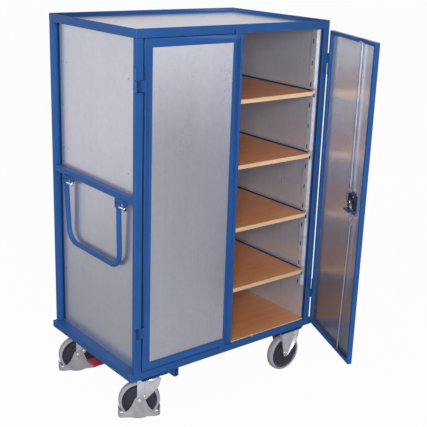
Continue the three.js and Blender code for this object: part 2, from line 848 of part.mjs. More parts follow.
// Side plate of the foot guard: a dome round the axle that flares out to a long foot
function guardOutline() {
  const bottom = groundLevel + guardAboveGround;
  const sideTop = bottom + guardSideTall;
  const half = guardHalfLong - guardCorner;
  const flare = half - guardCorner / 2;
  const lowTurn = Math.PI / 12;
  const domeX = guardDome * Math.cos(lowTurn);
  const domeZ = axleLevel - guardDome * Math.sin(lowTurn);
  const pull = guardDome + guardCorner / 2;
  const shape = new THREE.Shape();
  shape.moveTo(-trail - half, bottom);
  shape.lineTo(-trail + half, bottom);
  shape.lineTo(-trail + half, sideTop);
  shape.lineTo(-trail + flare, sideTop);
  shape.quadraticCurveTo(-trail + pull, sideTop + guardCorner / 2, -trail + domeX, domeZ);
  shape.absarc(-trail, axleLevel, guardDome, -lowTurn, Math.PI + lowTurn, false);
  shape.quadraticCurveTo(-trail - pull, sideTop + guardCorner / 2, -trail - flare, sideTop);
  shape.lineTo(-trail - half, sideTop);
  return shape;
}

function roundedPlan(halfLong, halfWide, corner) {
  const plan = new THREE.Shape();
  plan.moveTo(-trail - halfLong + corner, -halfWide);
  plan.lineTo(-trail + halfLong - corner, -halfWide);
  plan.absarc(-trail + halfLong - corner, corner - halfWide, corner, -Math.PI / 2, 0, false);
  plan.absarc(-trail + halfLong - corner, halfWide - corner, corner, 0, Math.PI / 2, false);
  plan.absarc(-trail - halfLong + corner, halfWide - corner, corner, Math.PI / 2, Math.PI, false);
  plan.absarc(-trail - halfLong + corner, corner - halfWide, corner, Math.PI, 1.5 * Math.PI, false);
  return plan;
}

function footGuard() {
  const bottom = groundLevel + guardAboveGround;
  const top = bottom + guardEndTall;
  const innerPlan = roundedPlan(guardHalfLong - guardWall, guardInner, guardCorner - guardWall);
  const ring = cut(prismZ(roundedPlan(guardHalfLong, guardOuter, guardCorner), bottom, top), [
    prismZ(innerPlan, bottom - overrun, top + overrun),
    block(-trail - guardHalfLong + guardNotch, -trail + guardHalfLong - guardNotch, -guardOuter - overrun,
      guardOuter + overrun, bottom + guardSideTall, top + overrun),
  ]);
  const plates = join([
    prismY(guardOutline(), -guardOuter, -guardInner),
    prismY(guardOutline(), guardInner, guardOuter),
  ]);
  const bore = rodAlongY(boreFor(axleRadius), -guardOuter - overrun, guardOuter + overrun,
    -trail, axleLevel);
  return cut(ring.add(plates), [bore]);
}

// Fixed fork: a plate with two tapering legs whose edges are folded outward
function fixedFork() {
  const tip = axleLevel - legTip;
  const outline = [
    [-fixedTopHalf, plateBottom + weldBite], [-fixedTipHalf, axleLevel], [-fixedTipHalf / 2, tip],
    [fixedTipHalf / 2, tip], [fixedTipHalf, axleLevel], [fixedTopHalf, plateBottom + weldBite],
  ];
  const solids = [
    block(-plateLong / 2, plateLong / 2, -plateWide / 2, plateWide / 2, plateBottom, plateTop),
    prismY(outline, -legOuter, -forkGap),
    prismY(outline, forkGap, legOuter),
    axle(0, legOuter),
  ];
  for (const edge of [-1, 1]) {
    for (const face of [-1, 1]) {
      solids.push(foldedEdge(edge, face));
    }
  }
  return join(solids);
}

// A strip along a leg's slanted edge that narrows toward the axle
function foldedEdge(edge, face) {
  const rise = plateBottom + weldBite - axleLevel;
  const run = new THREE.Vector3(edge * (fixedTopHalf - fixedTipHalf), 0, rise);
  const long = run.length();
  run.normalize();
  const outward = new THREE.Vector3(0, face, 0);
  const normal = run.clone().cross(outward);
  const strip = extrude([
    [0, -legThick / 2], [0, fixedFlangeTip], [long, fixedFlangeTop], [long, -legThick / 2],
  ], legThick);
  strip.translate(0, 0, -legThick / 2);
  strip.applyMatrix4(new THREE.Matrix4().makeBasis(run, outward, normal));
  strip.translate(edge * (fixedTipHalf - legThick / 2), face * legOuter, axleLevel);
  return toSolid(strip);
}

// A wheel with its axle along Y: hub, dished disc, rim and tyre turned from one outline
function wheel() {
  const bore = boreFor(axleRadius, wheelSides);
  const hubHalf = forkGap - seat;
  const half = [
    [bore, hubHalf], [hubRadius, hubHalf], [hubRadius, discHalf], [rimInner, discHalf],
    [rimInner, rimHalf], [rimRadius, tyreHalf], [wheelRadius, crownHalf],
  ];
  const mirrored = half.map(([radius, across]) => [radius, -across]);
  const outline = [...mirrored, ...half.reverse()].map(toPoint);
  outline.push(outline[0].clone());
  const turned = new THREE.LatheGeometry(outline, wheelSides, Math.PI / wheelSides);
  return toSolid(turned);
}

// Brake

function brakeShaft() {
  const arms = [-1, 1].map((side) => {
    const yA = side * (pedalHalfWide - armWide);
    const yB = side * (pedalHalfWide - armWide + armThick);
    const tipX = seat - pedalTip + pedalLong;
    return prismY([
      [-shaftPlaceX, shaftLevel + shaftRadius / 2], [-shaftPlaceX, shaftLevel - shaftRadius / 2],
      [tipX, pedalLevel - pedalThick], [tipX, pedalLevel],
    ], Math.min(yA, yB), Math.max(yA, yB));
  });
  return join([rodAlongY(shaftRadius, -shaftHalfLong, shaftHalfLong, -shaftPlaceX, shaftLevel), ...arms]);
}

function brakePedal() {
  const xA = -pedalTip;
  const xB = pedalLong - pedalTip;
  const solids = [block(xA, xB, -pedalHalfWide, pedalHalfWide, pedalLevel - pedalThick, pedalLevel)];
  const pitch = pedalLong / ribCount;
  for (let rib = 0; rib < ribCount; rib += 1) {
    const x = xA + rib * pitch + pitch / 2;
    solids.push(block(x - ribWide / 2, x + ribWide / 2, -pedalHalfWide, pedalHalfWide,
      pedalLevel - weldBite, pedalLevel + ribTall));
  }
  return join(solids);
}

// Assembly

const trolley = new THREE.Group();

trolley.add(
  piece('base_rail_front', longRail(-1), blue),
  piece('base_rail_back', longRail(1), blue),
  piece('base_rail_left', endRail(-1), blue),
  piece('base_rail_right', endRail(1), blue),
  piece('caster_channel_left', brakeChannel(), blue),
  piece('caster_channel_right', casterChannel(channelPlace), blue),
  piece('cross_member', crossMember(), blue),
  piece('floor_board', floorBoard(), beech),
  piece('post_front_left', frontPost(-1), blue),
  piece('post_front_right', frontPost(1), blue),
  piece('post_back_left', post(-1, 1), blue),
  piece('post_back_right', post(1, 1), blue),
  piece('top_rim', topRim(), blue),
  piece('top_sheet', topSheet(), zinc),
  piece('side_rail_left', barRail(), blue),
  piece('side_rail_right', sideRail(1), blue),
  piece('side_panel_left', sidePanel(-1), zinc),
  piece('side_panel_right', sidePanel(1), zinc),
  piece('back_panel', backPanel(), zinc),
  piece('push_bar', pushBar(), blue),
);

for (let index = 0; index < shelfCount; index += 1) {
  const level = shelfLevel(index);
  trolley.add(
    piece(`shelf_${index + 1}`, shelfBoard(level), beech),
    piece(`shelf_bearer_left_${index + 1}`, shelfBearer(-1, level), blue),
    piece(`shelf_bearer_right_${index + 1}`, shelfBearer(1, level), blue),
  );
}

for (const [sideX, endName] of [[-1, 'left'], [1, 'right']]) {
  for (const [sideY, faceName] of [[-1, 'front'], [1, 'back']]) {
    trolley.add(piece(`upright_${faceName}_${endName}`, upright(sideX, sideY), galvanised));
  }
}

const leftDoor = new THREE.Group();
leftDoor.position.set(-axisX, axisY, 0);
leftDoor.add(
  piece('left_door_frame', leftDoorFrame(), blue),
  piece('left_door_sheet', doorSheet(1, leftFreeU), zinc),
  piece('closing_strip', closingStrip(), blue),
);

const rightDoor = new THREE.Group();
rightDoor.position.set(axisX, axisY, 0);
rightDoor.rotation.z = THREE.MathUtils.degToRad(rightDoorAngle);
rightDoor.add(
  piece('right_door_frame', rightDoorFrame(), blue),
  piece('right_door_sheet', rightDoorSheet(), zinc),
  piece('lock_case', lockCase(), black),
  piece('lock_bracket', lockBracket(), blue),
  piece('lock_handle', lockHandle(), black),
  piece('lock_rod_upper', upperRod(), chromed),
  piece('lock_rod_lower', lowerRod(), chromed),
);
trolley.add(leftDoor, rightDoor);

for (const [sideY, faceName, yaw] of [[-1, 'front', frontYaw], [1, 'back', rearYaw]]) {
  const plate = piece(`swivel_plate_${faceName}`, swivelPlate(), pressed);
  plate.position.set(-swivelPlaceX, sideY * casterPlaceY, 0);
  const swivel = new THREE.Group();
  swivel.position.copy(plate.position);
  swivel.rotation.z = THREE.MathUtils.degToRad(yaw);
  const swivelWheel = piece(`swivel_wheel_${faceName}`, wheel(), tyre);
  swivelWheel.position.set(-trail, 0, axleLevel);
  swivel.add(
    piece(`swivel_fork_${faceName}`, swivelFork(), pressed),
    piece(`foot_guard_${faceName}`, footGuard(), guardSteel),
    swivelWheel,
  );
  const fork = piece(`fixed_fork_${faceName}`, fixedFork(), pressed);
  fork.position.set(fixedPlaceX, sideY * casterPlaceY, 0);
  const fixedWheel = piece(`fixed_wheel_${faceName}`, wheel(), tyre);
  fixedWheel.position.set(fixedPlaceX, sideY * casterPlaceY, axleLevel);
  trolley.add(plate, swivel, fork, fixedWheel);
}

trolley.add(
  piece('brake_shaft', brakeShaft(), black),
  piece('brake_pedal', brakePedal(), red),
);

export default trolley;
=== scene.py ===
# Looks of the transport trolley: rounded steel, turned wheels, pressed forks, finishes, light and camera
import math

import bmesh
import bpy
import numpy as np
from mathutils import Matrix, Vector


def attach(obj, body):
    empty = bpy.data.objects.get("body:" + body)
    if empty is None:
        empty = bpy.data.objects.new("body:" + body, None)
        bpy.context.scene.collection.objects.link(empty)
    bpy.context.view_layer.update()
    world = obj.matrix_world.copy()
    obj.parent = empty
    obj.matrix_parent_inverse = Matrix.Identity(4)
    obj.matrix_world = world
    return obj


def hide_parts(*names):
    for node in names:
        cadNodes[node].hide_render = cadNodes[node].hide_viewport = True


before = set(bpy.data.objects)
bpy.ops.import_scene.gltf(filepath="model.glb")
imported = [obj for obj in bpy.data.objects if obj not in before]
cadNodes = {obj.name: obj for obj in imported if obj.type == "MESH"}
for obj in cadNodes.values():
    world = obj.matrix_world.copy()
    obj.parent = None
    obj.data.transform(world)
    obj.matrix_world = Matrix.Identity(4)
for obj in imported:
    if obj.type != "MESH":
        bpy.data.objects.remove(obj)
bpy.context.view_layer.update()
print("frame loaded:", len(cadNodes), "nodes")

mm = 0.001
zeroTurn = np.eye(4)


# Shapes are pairs of arrays: points in millimetres and rows of point numbers

def gridFaces(rows, columns, loopRows=False, loopColumns=False):
    # quads between neighbouring rows and columns, joined end to start where asked
    i, j = np.meshgrid(np.arange(rows if loopRows else rows - 1),
                       np.arange(columns if loopColumns else columns - 1), indexing="ij")
    i, j = i.ravel(), j.ravel()
    down, right = (i + 1) % rows, (j + 1) % columns
    corners = [i * columns + j, down * columns + j, down * columns + right, i * columns + right]
    return np.stack(corners, 1).tolist()


def surface(x, y, z, loopRows=False, loopColumns=False):
    # three arrays of one shape, a coordinate each, over a grid of two parameters
    x, y, z = np.broadcast_arrays(x, y, z)
    points = np.stack([x, y, z], -1).reshape(-1, 3).astype(float)
    return points, gridFaces(x.shape[0], x.shape[1], loopRows, loopColumns)


def merged(shapes):
    # several shapes as one: points stacked, point numbers raised by the count before them
    points, faces, start = [], [], 0
    for pts, fcs in shapes:
        points.append(pts)
        faces += [[k + start for k in face] for face in fcs]
        start += len(pts)
    return np.concatenate(points), faces


def placed(shape, matrix):
    # each point times the matrix's turn, plus its shift
    points, faces = shape
    return points @ matrix[:3, :3].T + matrix[:3, 3], faces


def at(x, y, z, turn=0.0):
    # shift by x, y, z after a turn about Z in degrees
    c, s = math.cos(math.radians(turn)), math.sin(math.radians(turn))
    return np.array([[c, -s, 0, x], [s, c, 0, y], [0, 0, 1, z], [0, 0, 0, 1.0]])


def facing(axis, middle=(0, 0, 0)):
    # turns local +Z to the given axis and shifts the origin to the middle
    turn = np.array(Vector(axis).to_track_quat("Z", "Y").to_matrix().to_4x4())
    turn[:3, 3] = middle
    return turn


def turned(outline, sides=32, closed=False):
    # rows of radius and height carried round Z: x = r cos a, y = r sin a
    outline = np.asarray(outline, float)
    angle = np.arange(sides) / sides * 2 * np.pi
    r, h = outline[:, :1], outline[:, 1:]
    return surface(r * np.cos(angle), r * np.sin(angle), h + 0 * angle, closed, True)


def drawn(outline, low, high, along="y"):
    # a flat closed outline carried straight from low to high along one axis, with both ends closed
    outline = np.asarray(outline, float)
    n = len(outline)
    ends = np.array([low, high], float)[:, None] + 0 * outline[:, 0]
    first, second = outline[:, 0] + 0 * ends, outline[:, 1] + 0 * ends
    order = {"x": (ends, first, second), "y": (first, ends, second), "z": (first, second, ends)}[along]
    points, faces = surface(*order, loopColumns=True)
    return points, faces + [list(range(n))[::-1], list(range(n, 2 * n))]


def rounded(corners, radius, steps=5):
    # every corner of a closed outline becomes an arc that touches both of its sides
    corners = np.asarray(corners, float)
    radius = np.broadcast_to(radius, len(corners))
    out = []
    for k, corner in enumerate(corners):
        toA, toB = corners[k - 1] - corner, corners[(k + 1) % len(corners)] - corner
        toA, toB = toA / np.linalg.norm(toA), toB / np.linalg.norm(toB)
        half = math.acos(float(np.clip(toA @ toB, -1, 1))) / 2
        if radius[k] <= 0 or half > math.pi / 2 - 1e-3:
            out.append(corner[None])
            continue
        middle = corner + (toA + toB) / np.linalg.norm(toA + toB) * radius[k] / math.sin(half)
        start = corner + toA * radius[k] / math.tan(half) - middle
        end = corner + toB * radius[k] / math.tan(half) - middle
        share = np.linspace(0, 1, steps + 1)[:, None]
        arc = start * (1 - share) + end * share
        out.append(middle + arc / np.linalg.norm(arc, axis=1)[:, None] * radius[k])
    return np.concatenate(out)


def box(xA, xB, yA, yB, zA, zB):
    # a block between two values on each axis
    return drawn([(xA, zA), (xB, zA), (xB, zB), (xA, zB)], yA, yB, "y")


def roundedOblong(halfX, halfY, radius):
    # an oblong outline round the origin with arcs at its corners
    return rounded([(-halfX, -halfY), (halfX, -halfY), (halfX, halfY), (-halfX, halfY)], radius)


def tube(path, radius, across, sides=20, closed=False):
    # a circle carried along a flat path: r cos a square to the path's plane plus r sin a in it
    path, across = np.asarray(path, float), np.asarray(across, float)
    run = np.roll(path, -1, 0) - np.roll(path, 1, 0) if closed else np.gradient(path, axis=0)
    run /= np.linalg.norm(run, axis=1)[:, None]
    side = np.cross(run, across)
    angle = np.arange(sides) / sides * 2 * np.pi
    ring = (path[:, None] + radius * (np.cos(angle)[None, :, None] * across
            + np.sin(angle)[None, :, None] * side[:, None]))
    n = len(path)
    ends = [] if closed else [list(range(sides))[::-1], list(range((n - 1) * sides, n * sides))]
    return ring.reshape(-1, 3), gridFaces(n, sides, closed, True) + ends


def carried(path, halfWide, halfThick, widthAxis, thickAxis):
    # a flat strip carried along a path, its width and thickness along two fixed directions
    path, w, t = np.asarray(path, float), np.asarray(widthAxis, float), np.asarray(thickAxis, float)
    corners = ((-1, -1), (1, -1), (1, 1), (-1, 1))
    ring = np.stack([path + w * a * halfWide + t * b * halfThick for a, b in corners], 1)
    n = len(path)
    ends = [[3, 2, 1, 0], list(range(4 * n - 4, 4 * n))]
    return ring.reshape(-1, 3), gridFaces(n, 4, loopColumns=True) + ends


def arcPoints(middle, radius, start, end, steps):
    # points on a circle between two angles in degrees
    angle = np.radians(np.linspace(start, end, steps + 1))
    return np.stack([middle[0] + radius * np.cos(angle), middle[1] + radius * np.sin(angle)], 1)


bolt = {"foot": 1.5, "chamfer": 1.2, "crown": 0.88, "washerSide": 1.4, "washerTop": 1.8, "washerBevel": 0.6,
        "stubShare": 0.5, "stubTip": 0.4, "stubBevel": 0.8}


def hexBolt(size=9.0, thick=6.0, washer=12.0, stub=0.0):
    # a six-sided head with a chamfered top on a round washer, standing on z = 0, and a thread's end above it
    head = turned([(0, bolt["foot"]), (size, bolt["foot"]), (size, thick - bolt["chamfer"]),
                   (size * bolt["crown"], thick), (0, thick)], 6)
    ring = turned([(0, 0), (washer, 0), (washer, bolt["washerSide"]),
                   (washer - bolt["washerBevel"], bolt["washerTop"]), (0, bolt["washerTop"])], 20)
    shapes = [head, ring]
    if stub:
        wide, tip, top = size * bolt["stubShare"], size * bolt["stubTip"], thick + stub
        shapes.append(turned([(wide, thick - 1), (wide, top - bolt["stubBevel"]), (tip, top), (0, top)], 14))
    return merged(shapes)


def pin(radius, low, high, sides=20):
    # a round bar between two heights
    return turned([(0, low), (radius, low), (radius, high), (0, high)], sides)


def domeHead(radius, tall, sides=10, rings=3, sunk=0.4):
    # a shallow dome: r = R cos t, h = H sin t, on a short foot
    t = np.radians(np.linspace(0, 90, rings + 1))
    dome = np.stack([radius * np.cos(t), tall * np.sin(t)], 1)
    return turned(np.concatenate([[[radius, -sunk]], dome]), sides)


# Pieces made from shapes

def addBevel(obj, width, steps=2, angle=30, byWeight=False):
    # rounds sharp edges, or with weights each edge by its own share of the width
    bevel = obj.modifiers.new("rounding", "BEVEL")
    bevel.width = width * mm
    bevel.segments = steps
    bevel.limit_method = "WEIGHT" if byWeight else "ANGLE"
    bevel.angle_limit = math.radians(angle)
    bevel.use_clamp_overlap = not byWeight
    bevel.harden_normals = True
    bevel.miter_outer = "MITER_ARC"


welding = {"near": 1e-6, "sliver": 1e-7}


def makePiece(name, shapes, material, body, stands=(), edge=0.0, edgeSteps=2, wall=0.0,
              place=zeroTurn, sharp=38):
    # one object from shapes: doubles merged, faces turned outward, then a wall's thickness and rounded edges
    points, faces = merged(shapes)
    points = (points @ place[:3, :3].T + place[:3, 3]) * mm
    mesh = bpy.data.meshes.new(name)
    mesh.from_pydata(points.tolist(), [], faces)
    work = bmesh.new()
    work.from_mesh(mesh)
    bmesh.ops.remove_doubles(work, verts=work.verts, dist=welding["near"])
    bmesh.ops.dissolve_degenerate(work, edges=work.edges, dist=welding["sliver"])
    bmesh.ops.recalc_face_normals(work, faces=work.faces)
    work.to_mesh(mesh)
    work.free()
    obj = bpy.data.objects.new(name, mesh)
    bpy.context.scene.collection.objects.link(obj)
    mesh.materials.append(material)
    mesh.polygons.foreach_set("use_smooth", np.ones(len(mesh.polygons), bool))
    if wall:
        solid = obj.modifiers.new("thickness", "SOLIDIFY")
        solid.thickness = wall * mm
        solid.offset = 0
        solid.use_even_offset = True
    if edge:
        addBevel(obj, edge, edgeSteps, sharp)
    else:
        mesh.set_sharp_from_angle(angle=math.radians(sharp))
    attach(obj, body)
    if stands:
        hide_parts(*stands)


copying = {"perMetre": 1e5, "flat": 0.6, "sharp": 30.0, "share": 0.42, "steps": 3}


def roundedCopy(nodeName, material, body, width, reshape=None):
    # the node's own faces, flat ones joined, and every outer edge rounded as far as its faces allow
    source = cadNodes[nodeName].data
    points = np.zeros(len(source.vertices) * 3, np.float32)
    source.vertices.foreach_get("co", points)
    if reshape:
        points = reshape(points.reshape(-1, 3))
    rows = np.zeros(len(source.loops), np.int32)
    source.loops.foreach_get("vertex_index", rows)
    steps = np.round(points.reshape(-1, 3) * copying["perMetre"]).astype(np.int64)
    spots, index = np.unique(steps, axis=0, return_inverse=True)
    faces = index.ravel()[rows].reshape(-1, 3)
    faces = faces[(faces[:, 0] != faces[:, 1]) & (faces[:, 1] != faces[:, 2]) & (faces[:, 0] != faces[:, 2])]
    mesh = bpy.data.meshes.new(nodeName + "_rounded")
    mesh.from_pydata((spots / copying["perMetre"]).tolist(), [], faces.tolist())
    work = bmesh.new()
    work.from_mesh(mesh)
    bmesh.ops.dissolve_limit(work, angle_limit=math.radians(copying["flat"]), verts=work.verts, edges=work.edges)
    weight = work.edges.layers.float.new("bevel_weight_edge")
    for edge in work.edges:
        if len(edge.link_faces) != 2 or edge.calc_face_angle_signed(0) < math.radians(copying["sharp"]):
            continue
        a, b = edge.verts[0].co, edge.verts[1].co
        run = (b - a).normalized()
        room = min(max((v.co - a - run * (v.co - a).dot(run)).length for v in face.verts)
                   for face in edge.link_faces)
        edge[weight] = min(1.0, copying["share"] * room / (width * mm))
    work.to_mesh(mesh)
    work.free()
    obj = bpy.data.objects.new(nodeName + "_rounded", mesh)
    bpy.context.scene.collection.objects.link(obj)
    mesh.materials.append(material)
    mesh.polygons.foreach_set("use_smooth", np.ones(len(mesh.polygons), bool))
    addBevel(obj, width, copying["steps"], byWeight=True)
    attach(obj, body)
    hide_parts(nodeName)


def dress(nodeName, material):
    # a node whose shape is right stays, with this finish
    node = cadNodes[nodeName]
    node.data.materials.clear()
    node.data.materials.append(material)


# Node helpers and shared effects

def addNode(tree, kind, inputs=None, **settings):
    # a node whose inputs are linked where given a socket and set where given a value
    node = tree.nodes.new(kind)
    for key, value in settings.items():
        setattr(node, key, value)
    for key, value in (inputs or {}).items():
        if isinstance(value, bpy.types.NodeSocket):
            tree.links.new(value, node.inputs[key])
        else:
            node.inputs[key].default_value = value
    return node


def newGroup(name, inputs, outputs):
    # an empty shader group with its named sockets
    tree = bpy.data.node_groups.new(name, "ShaderNodeTree")
    for label, kind, value in inputs:
        socket = tree.interface.new_socket(name=label, in_out="INPUT", socket_type=kind)
        if value is not None:
            socket.default_value = value
    for label, kind in outputs:
        tree.interface.new_socket(name=label, in_out="OUTPUT", socket_type=kind)
    return tree, tree.nodes.new("NodeGroupInput"), tree.nodes.new("NodeGroupOutput")


def makeGrainGroup():
    # noise on coordinates stretched by three factors, spread over the full range
    tree, start, end = newGroup("grain", [("Vector", "NodeSocketVector", None),
                                          ("Stretch", "NodeSocketVector", (1, 1, 1)),
                                          ("Size", "NodeSocketFloat", 100.0), ("Detail", "NodeSocketFloat", 3.0),
                                          ("Warp", "NodeSocketFloat", 0.0)],
                                [("Value", "NodeSocketFloat")])
    out = start.outputs
    scaled = addNode(tree, "ShaderNodeVectorMath", {0: out["Vector"], 1: out["Stretch"]}, operation="MULTIPLY")
    noise = addNode(tree, "ShaderNodeTexNoise", {"Vector": scaled.outputs[0], "Scale": out["Size"],
                                                 "Detail": out["Detail"], "Roughness": 0.6,
                                                 "Distortion": out["Warp"]})
    spread = addNode(tree, "ShaderNodeMapRange", {"Value": noise.outputs[0], "From Min": 0.3, "From Max": 0.7})
    tree.links.new(spread.outputs[0], end.inputs[0])
    return tree


def makeSpangleGroup():
    # zinc crystals: cells with a tone each, edges bent by a little noise
    tree, start, end = newGroup("spangle", [("Vector", "NodeSocketVector", None),
                                            ("Size", "NodeSocketFloat", 40.0),
                                            ("Bend", "NodeSocketFloat", 0.01)],
                                [("Value", "NodeSocketFloat")])
    out = start.outputs
    noise = addNode(tree, "ShaderNodeTexNoise", {"Vector": out["Vector"], "Scale": 60.0, "Detail": 2.0})
    centred = addNode(tree, "ShaderNodeVectorMath", {0: noise.outputs["Color"], 1: (0.5, 0.5, 0.5)},
                      operation="SUBTRACT")
    shift = addNode(tree, "ShaderNodeVectorMath", {0: centred.outputs[0], "Scale": out["Bend"]},
                    operation="SCALE")
    bent = addNode(tree, "ShaderNodeVectorMath", {0: out["Vector"], 1: shift.outputs[0]}, operation="ADD")
    cells = addNode(tree, "ShaderNodeTexVoronoi", {"Vector": bent.outputs[0], "Scale": out["Size"]},
                    feature="F1")
    tone = addNode(tree, "ShaderNodeSeparateColor", {0: cells.outputs["Color"]})
    tree.links.new(tone.outputs[0], end.inputs[0])
    return tree


def makeToneGroup():
    # a colour made darker where the value is low and lighter where it is high
    tree, start, end = newGroup("tone", [("Color", "NodeSocketColor", (0.5, 0.5, 0.5, 1)),
                                         ("Value", "NodeSocketFloat", 0.5), ("Low", "NodeSocketFloat", 0.9),
                                         ("High", "NodeSocketFloat", 1.1)],
                                [("Color", "NodeSocketColor")])
    out = start.outputs
    factor = addNode(tree, "ShaderNodeMapRange", {"Value": out["Value"], "To Min": out["Low"],
                                                  "To Max": out["High"]})
    scaled = addNode(tree, "ShaderNodeVectorMath", {0: out["Color"], "Scale": factor.outputs[0]},
                     operation="SCALE")
    tree.links.new(scaled.outputs[0], end.inputs[0])
    return tree


def makeScuffGroup():
    # hair scratches: where a turned and stretched noise crosses its middle value, kept in a few patches
    tree, start, end = newGroup("scuffs", [("Vector", "NodeSocketVector", None),
                                           ("Turn", "NodeSocketVector", (0, 0, 0)),
                                           ("Stretch", "NodeSocketVector", (1, 1, 1)),
                                           ("Size", "NodeSocketFloat", 10.0), ("Width", "NodeSocketFloat", 0.006),
                                           ("Amount", "NodeSocketFloat", 0.5)],
                                [("Mask", "NodeSocketFloat")])
    out = start.outputs
    slanted = addNode(tree, "ShaderNodeVectorRotate", {"Vector": out["Vector"], "Rotation": out["Turn"]},
                      rotation_type="EULER_XYZ")
    scaled = addNode(tree, "ShaderNodeVectorMath", {0: slanted.outputs[0], 1: out["Stretch"]},
                     operation="MULTIPLY")
    noise = addNode(tree, "ShaderNodeTexNoise", {"Vector": scaled.outputs[0], "Scale": out["Size"],
                                                 "Detail": 1.0})
    gap = addNode(tree, "ShaderNodeMath", {0: noise.outputs[0], 1: 0.5}, operation="SUBTRACT")
    far = addNode(tree, "ShaderNodeMath", {0: gap.outputs[0]}, operation="ABSOLUTE")
    line = addNode(tree, "ShaderNodeMapRange", {"Value": far.outputs[0], "From Max": out["Width"], "To Min": 1.0,
                                                "To Max": 0.0})
    slow = addNode(tree, "ShaderNodeTexNoise", {"Vector": out["Vector"], "Scale": 4.0, "Detail": 3.0})
    here = addNode(tree, "ShaderNodeMapRange", {"Value": slow.outputs[0], "From Min": 0.56, "From Max": 0.68})
    both = addNode(tree, "ShaderNodeMath", {0: line.outputs[0], 1: here.outputs[0]}, operation="MULTIPLY")
    mask = addNode(tree, "ShaderNodeMath", {0: both.outputs[0], 1: out["Amount"]}, operation="MULTIPLY")
    tree.links.new(mask.outputs[0], end.inputs[0])
    return tree


def makeDustGroup():
    # settles on faces that look up and gathers in soft patches
    tree, start, end = newGroup("dust", [("Vector", "NodeSocketVector", None),
                                         ("Amount", "NodeSocketFloat", 0.3)],
                                [("Mask", "NodeSocketFloat")])
    out = start.outputs
    geometry = addNode(tree, "ShaderNodeNewGeometry")
    parts = addNode(tree, "ShaderNodeSeparateXYZ", {0: geometry.outputs["Normal"]})
    up = addNode(tree, "ShaderNodeMapRange", {"Value": parts.outputs[2], "From Min": 0.3, "From Max": 1.0})
    noise = addNode(tree, "ShaderNodeTexNoise", {"Vector": out["Vector"], "Scale": 14.0, "Detail": 5.0})
    patch = addNode(tree, "ShaderNodeMapRange", {"Value": noise.outputs[0], "From Min": 0.35, "From Max": 0.7})
    both = addNode(tree, "ShaderNodeMath", {0: up.outputs[0], 1: patch.outputs[0]}, operation="MULTIPLY")
    mask = addNode(tree, "ShaderNodeMath", {0: both.outputs[0], 1: out["Amount"]}, operation="MULTIPLY")
    tree.links.new(mask.outputs[0], end.inputs[0])
    return tree


def makeEdgeGroup():
    # high where a normal averaged over a small radius leaves the face's own, so along arrises; the mask marks
    # wear and also a painted highlight there
    tree, start, end = newGroup("edgeWearAndHighlight", [("Vector", "NodeSocketVector", None),
                                             ("Amount", "NodeSocketFloat", 0.5)],
                                [("Mask", "NodeSocketFloat")])
    out = start.outputs
    soft = addNode(tree, "ShaderNodeBevel", {"Radius": 0.003}, samples=4)
    geometry = addNode(tree, "ShaderNodeNewGeometry")
    same = addNode(tree, "ShaderNodeVectorMath", {0: soft.outputs[0], 1: geometry.outputs["Normal"]},
                   operation="DOT_PRODUCT")
    edge = addNode(tree, "ShaderNodeMapRange", {"Value": same.outputs["Value"], "From Min": 0.98,
                                                "From Max": 0.8})
    noise = addNode(tree, "ShaderNodeTexNoise", {"Vector": out["Vector"], "Scale": 35.0, "Detail": 4.0})
    rough = addNode(tree, "ShaderNodeMapRange", {"Value": noise.outputs[0], "From Min": 0.4, "From Max": 0.65})
    both = addNode(tree, "ShaderNodeMath", {0: edge.outputs[0], 1: rough.outputs[0]}, operation="MULTIPLY")
    mask = addNode(tree, "ShaderNodeMath", {0: both.outputs[0], 1: out["Amount"]}, operation="MULTIPLY")
    tree.links.new(mask.outputs[0], end.inputs[0])
    return tree


grain = makeGrainGroup()
spangle = makeSpangleGroup()
tone = makeToneGroup()
scuffs = makeScuffGroup()
dust = makeDustGroup()
edgeWearAndHighlight = makeEdgeGroup()


def useGroup(tree, group, **inputs):
    # places a group with its own values and gives its first output
    node = tree.nodes.new("ShaderNodeGroup")
    node.node_tree = group
    for key, value in inputs.items():
        if isinstance(value, bpy.types.NodeSocket):
            tree.links.new(value, node.inputs[key])
        else:
            node.inputs[key].default_value = value
    return node.outputs[0]


def newMaterial(name):
    # a material with its tree, its shader and the piece's own coordinates
    material = bpy.data.materials.new(name)
    material.use_nodes = True
    tree = material.node_tree
    shader = tree.nodes["Principled BSDF"]
    where = addNode(tree, "ShaderNodeTexCoord").outputs["Object"]
    return material, tree, shader, where


def mixColor(tree, factor, first, second):
    # first colour where the factor is 0, second where it is 1
    node = addNode(tree, "ShaderNodeMix", {0: factor, 6: first, 7: second}, data_type="RGBA")
    return node.outputs[2]


def rangeOf(tree, value, low, high, fromLow=0.0, fromHigh=1.0):
    # a value spread from one range onto another
    node = addNode(tree, "ShaderNodeMapRange", {"Value": value, "From Min": fromLow, "From Max": fromHigh,
                                                "To Min": low, "To Max": high})
    return node.outputs[0]


def addBump(tree, shader, height, distance):
    # fine relief, its distance in metres
    bump = addNode(tree, "ShaderNodeBump", {"Height": height, "Distance": distance, "Strength": 1.0})
    tree.links.new(bump.outputs[0], shader.inputs["Normal"])


def rgb(r, g, b):
    # a colour with full cover
    return (r, g, b, 1.0)


# Finishes

# worn: the paler colour of the arrises, partly wear and partly a painted highlight
coat = {"color": rgb(0.017, 0.072, 0.235), "wornAndLit": rgb(0.075, 0.17, 0.38), "dusty": rgb(0.12, 0.15, 0.22),
        "drift": 6.0, "peel": 900.0, "peelDepth": 0.00004, "roughness": (0.29, 0.37), "gloss": 0.12,
        "wearAndHighlight": 0.7, "dust": 0.10}


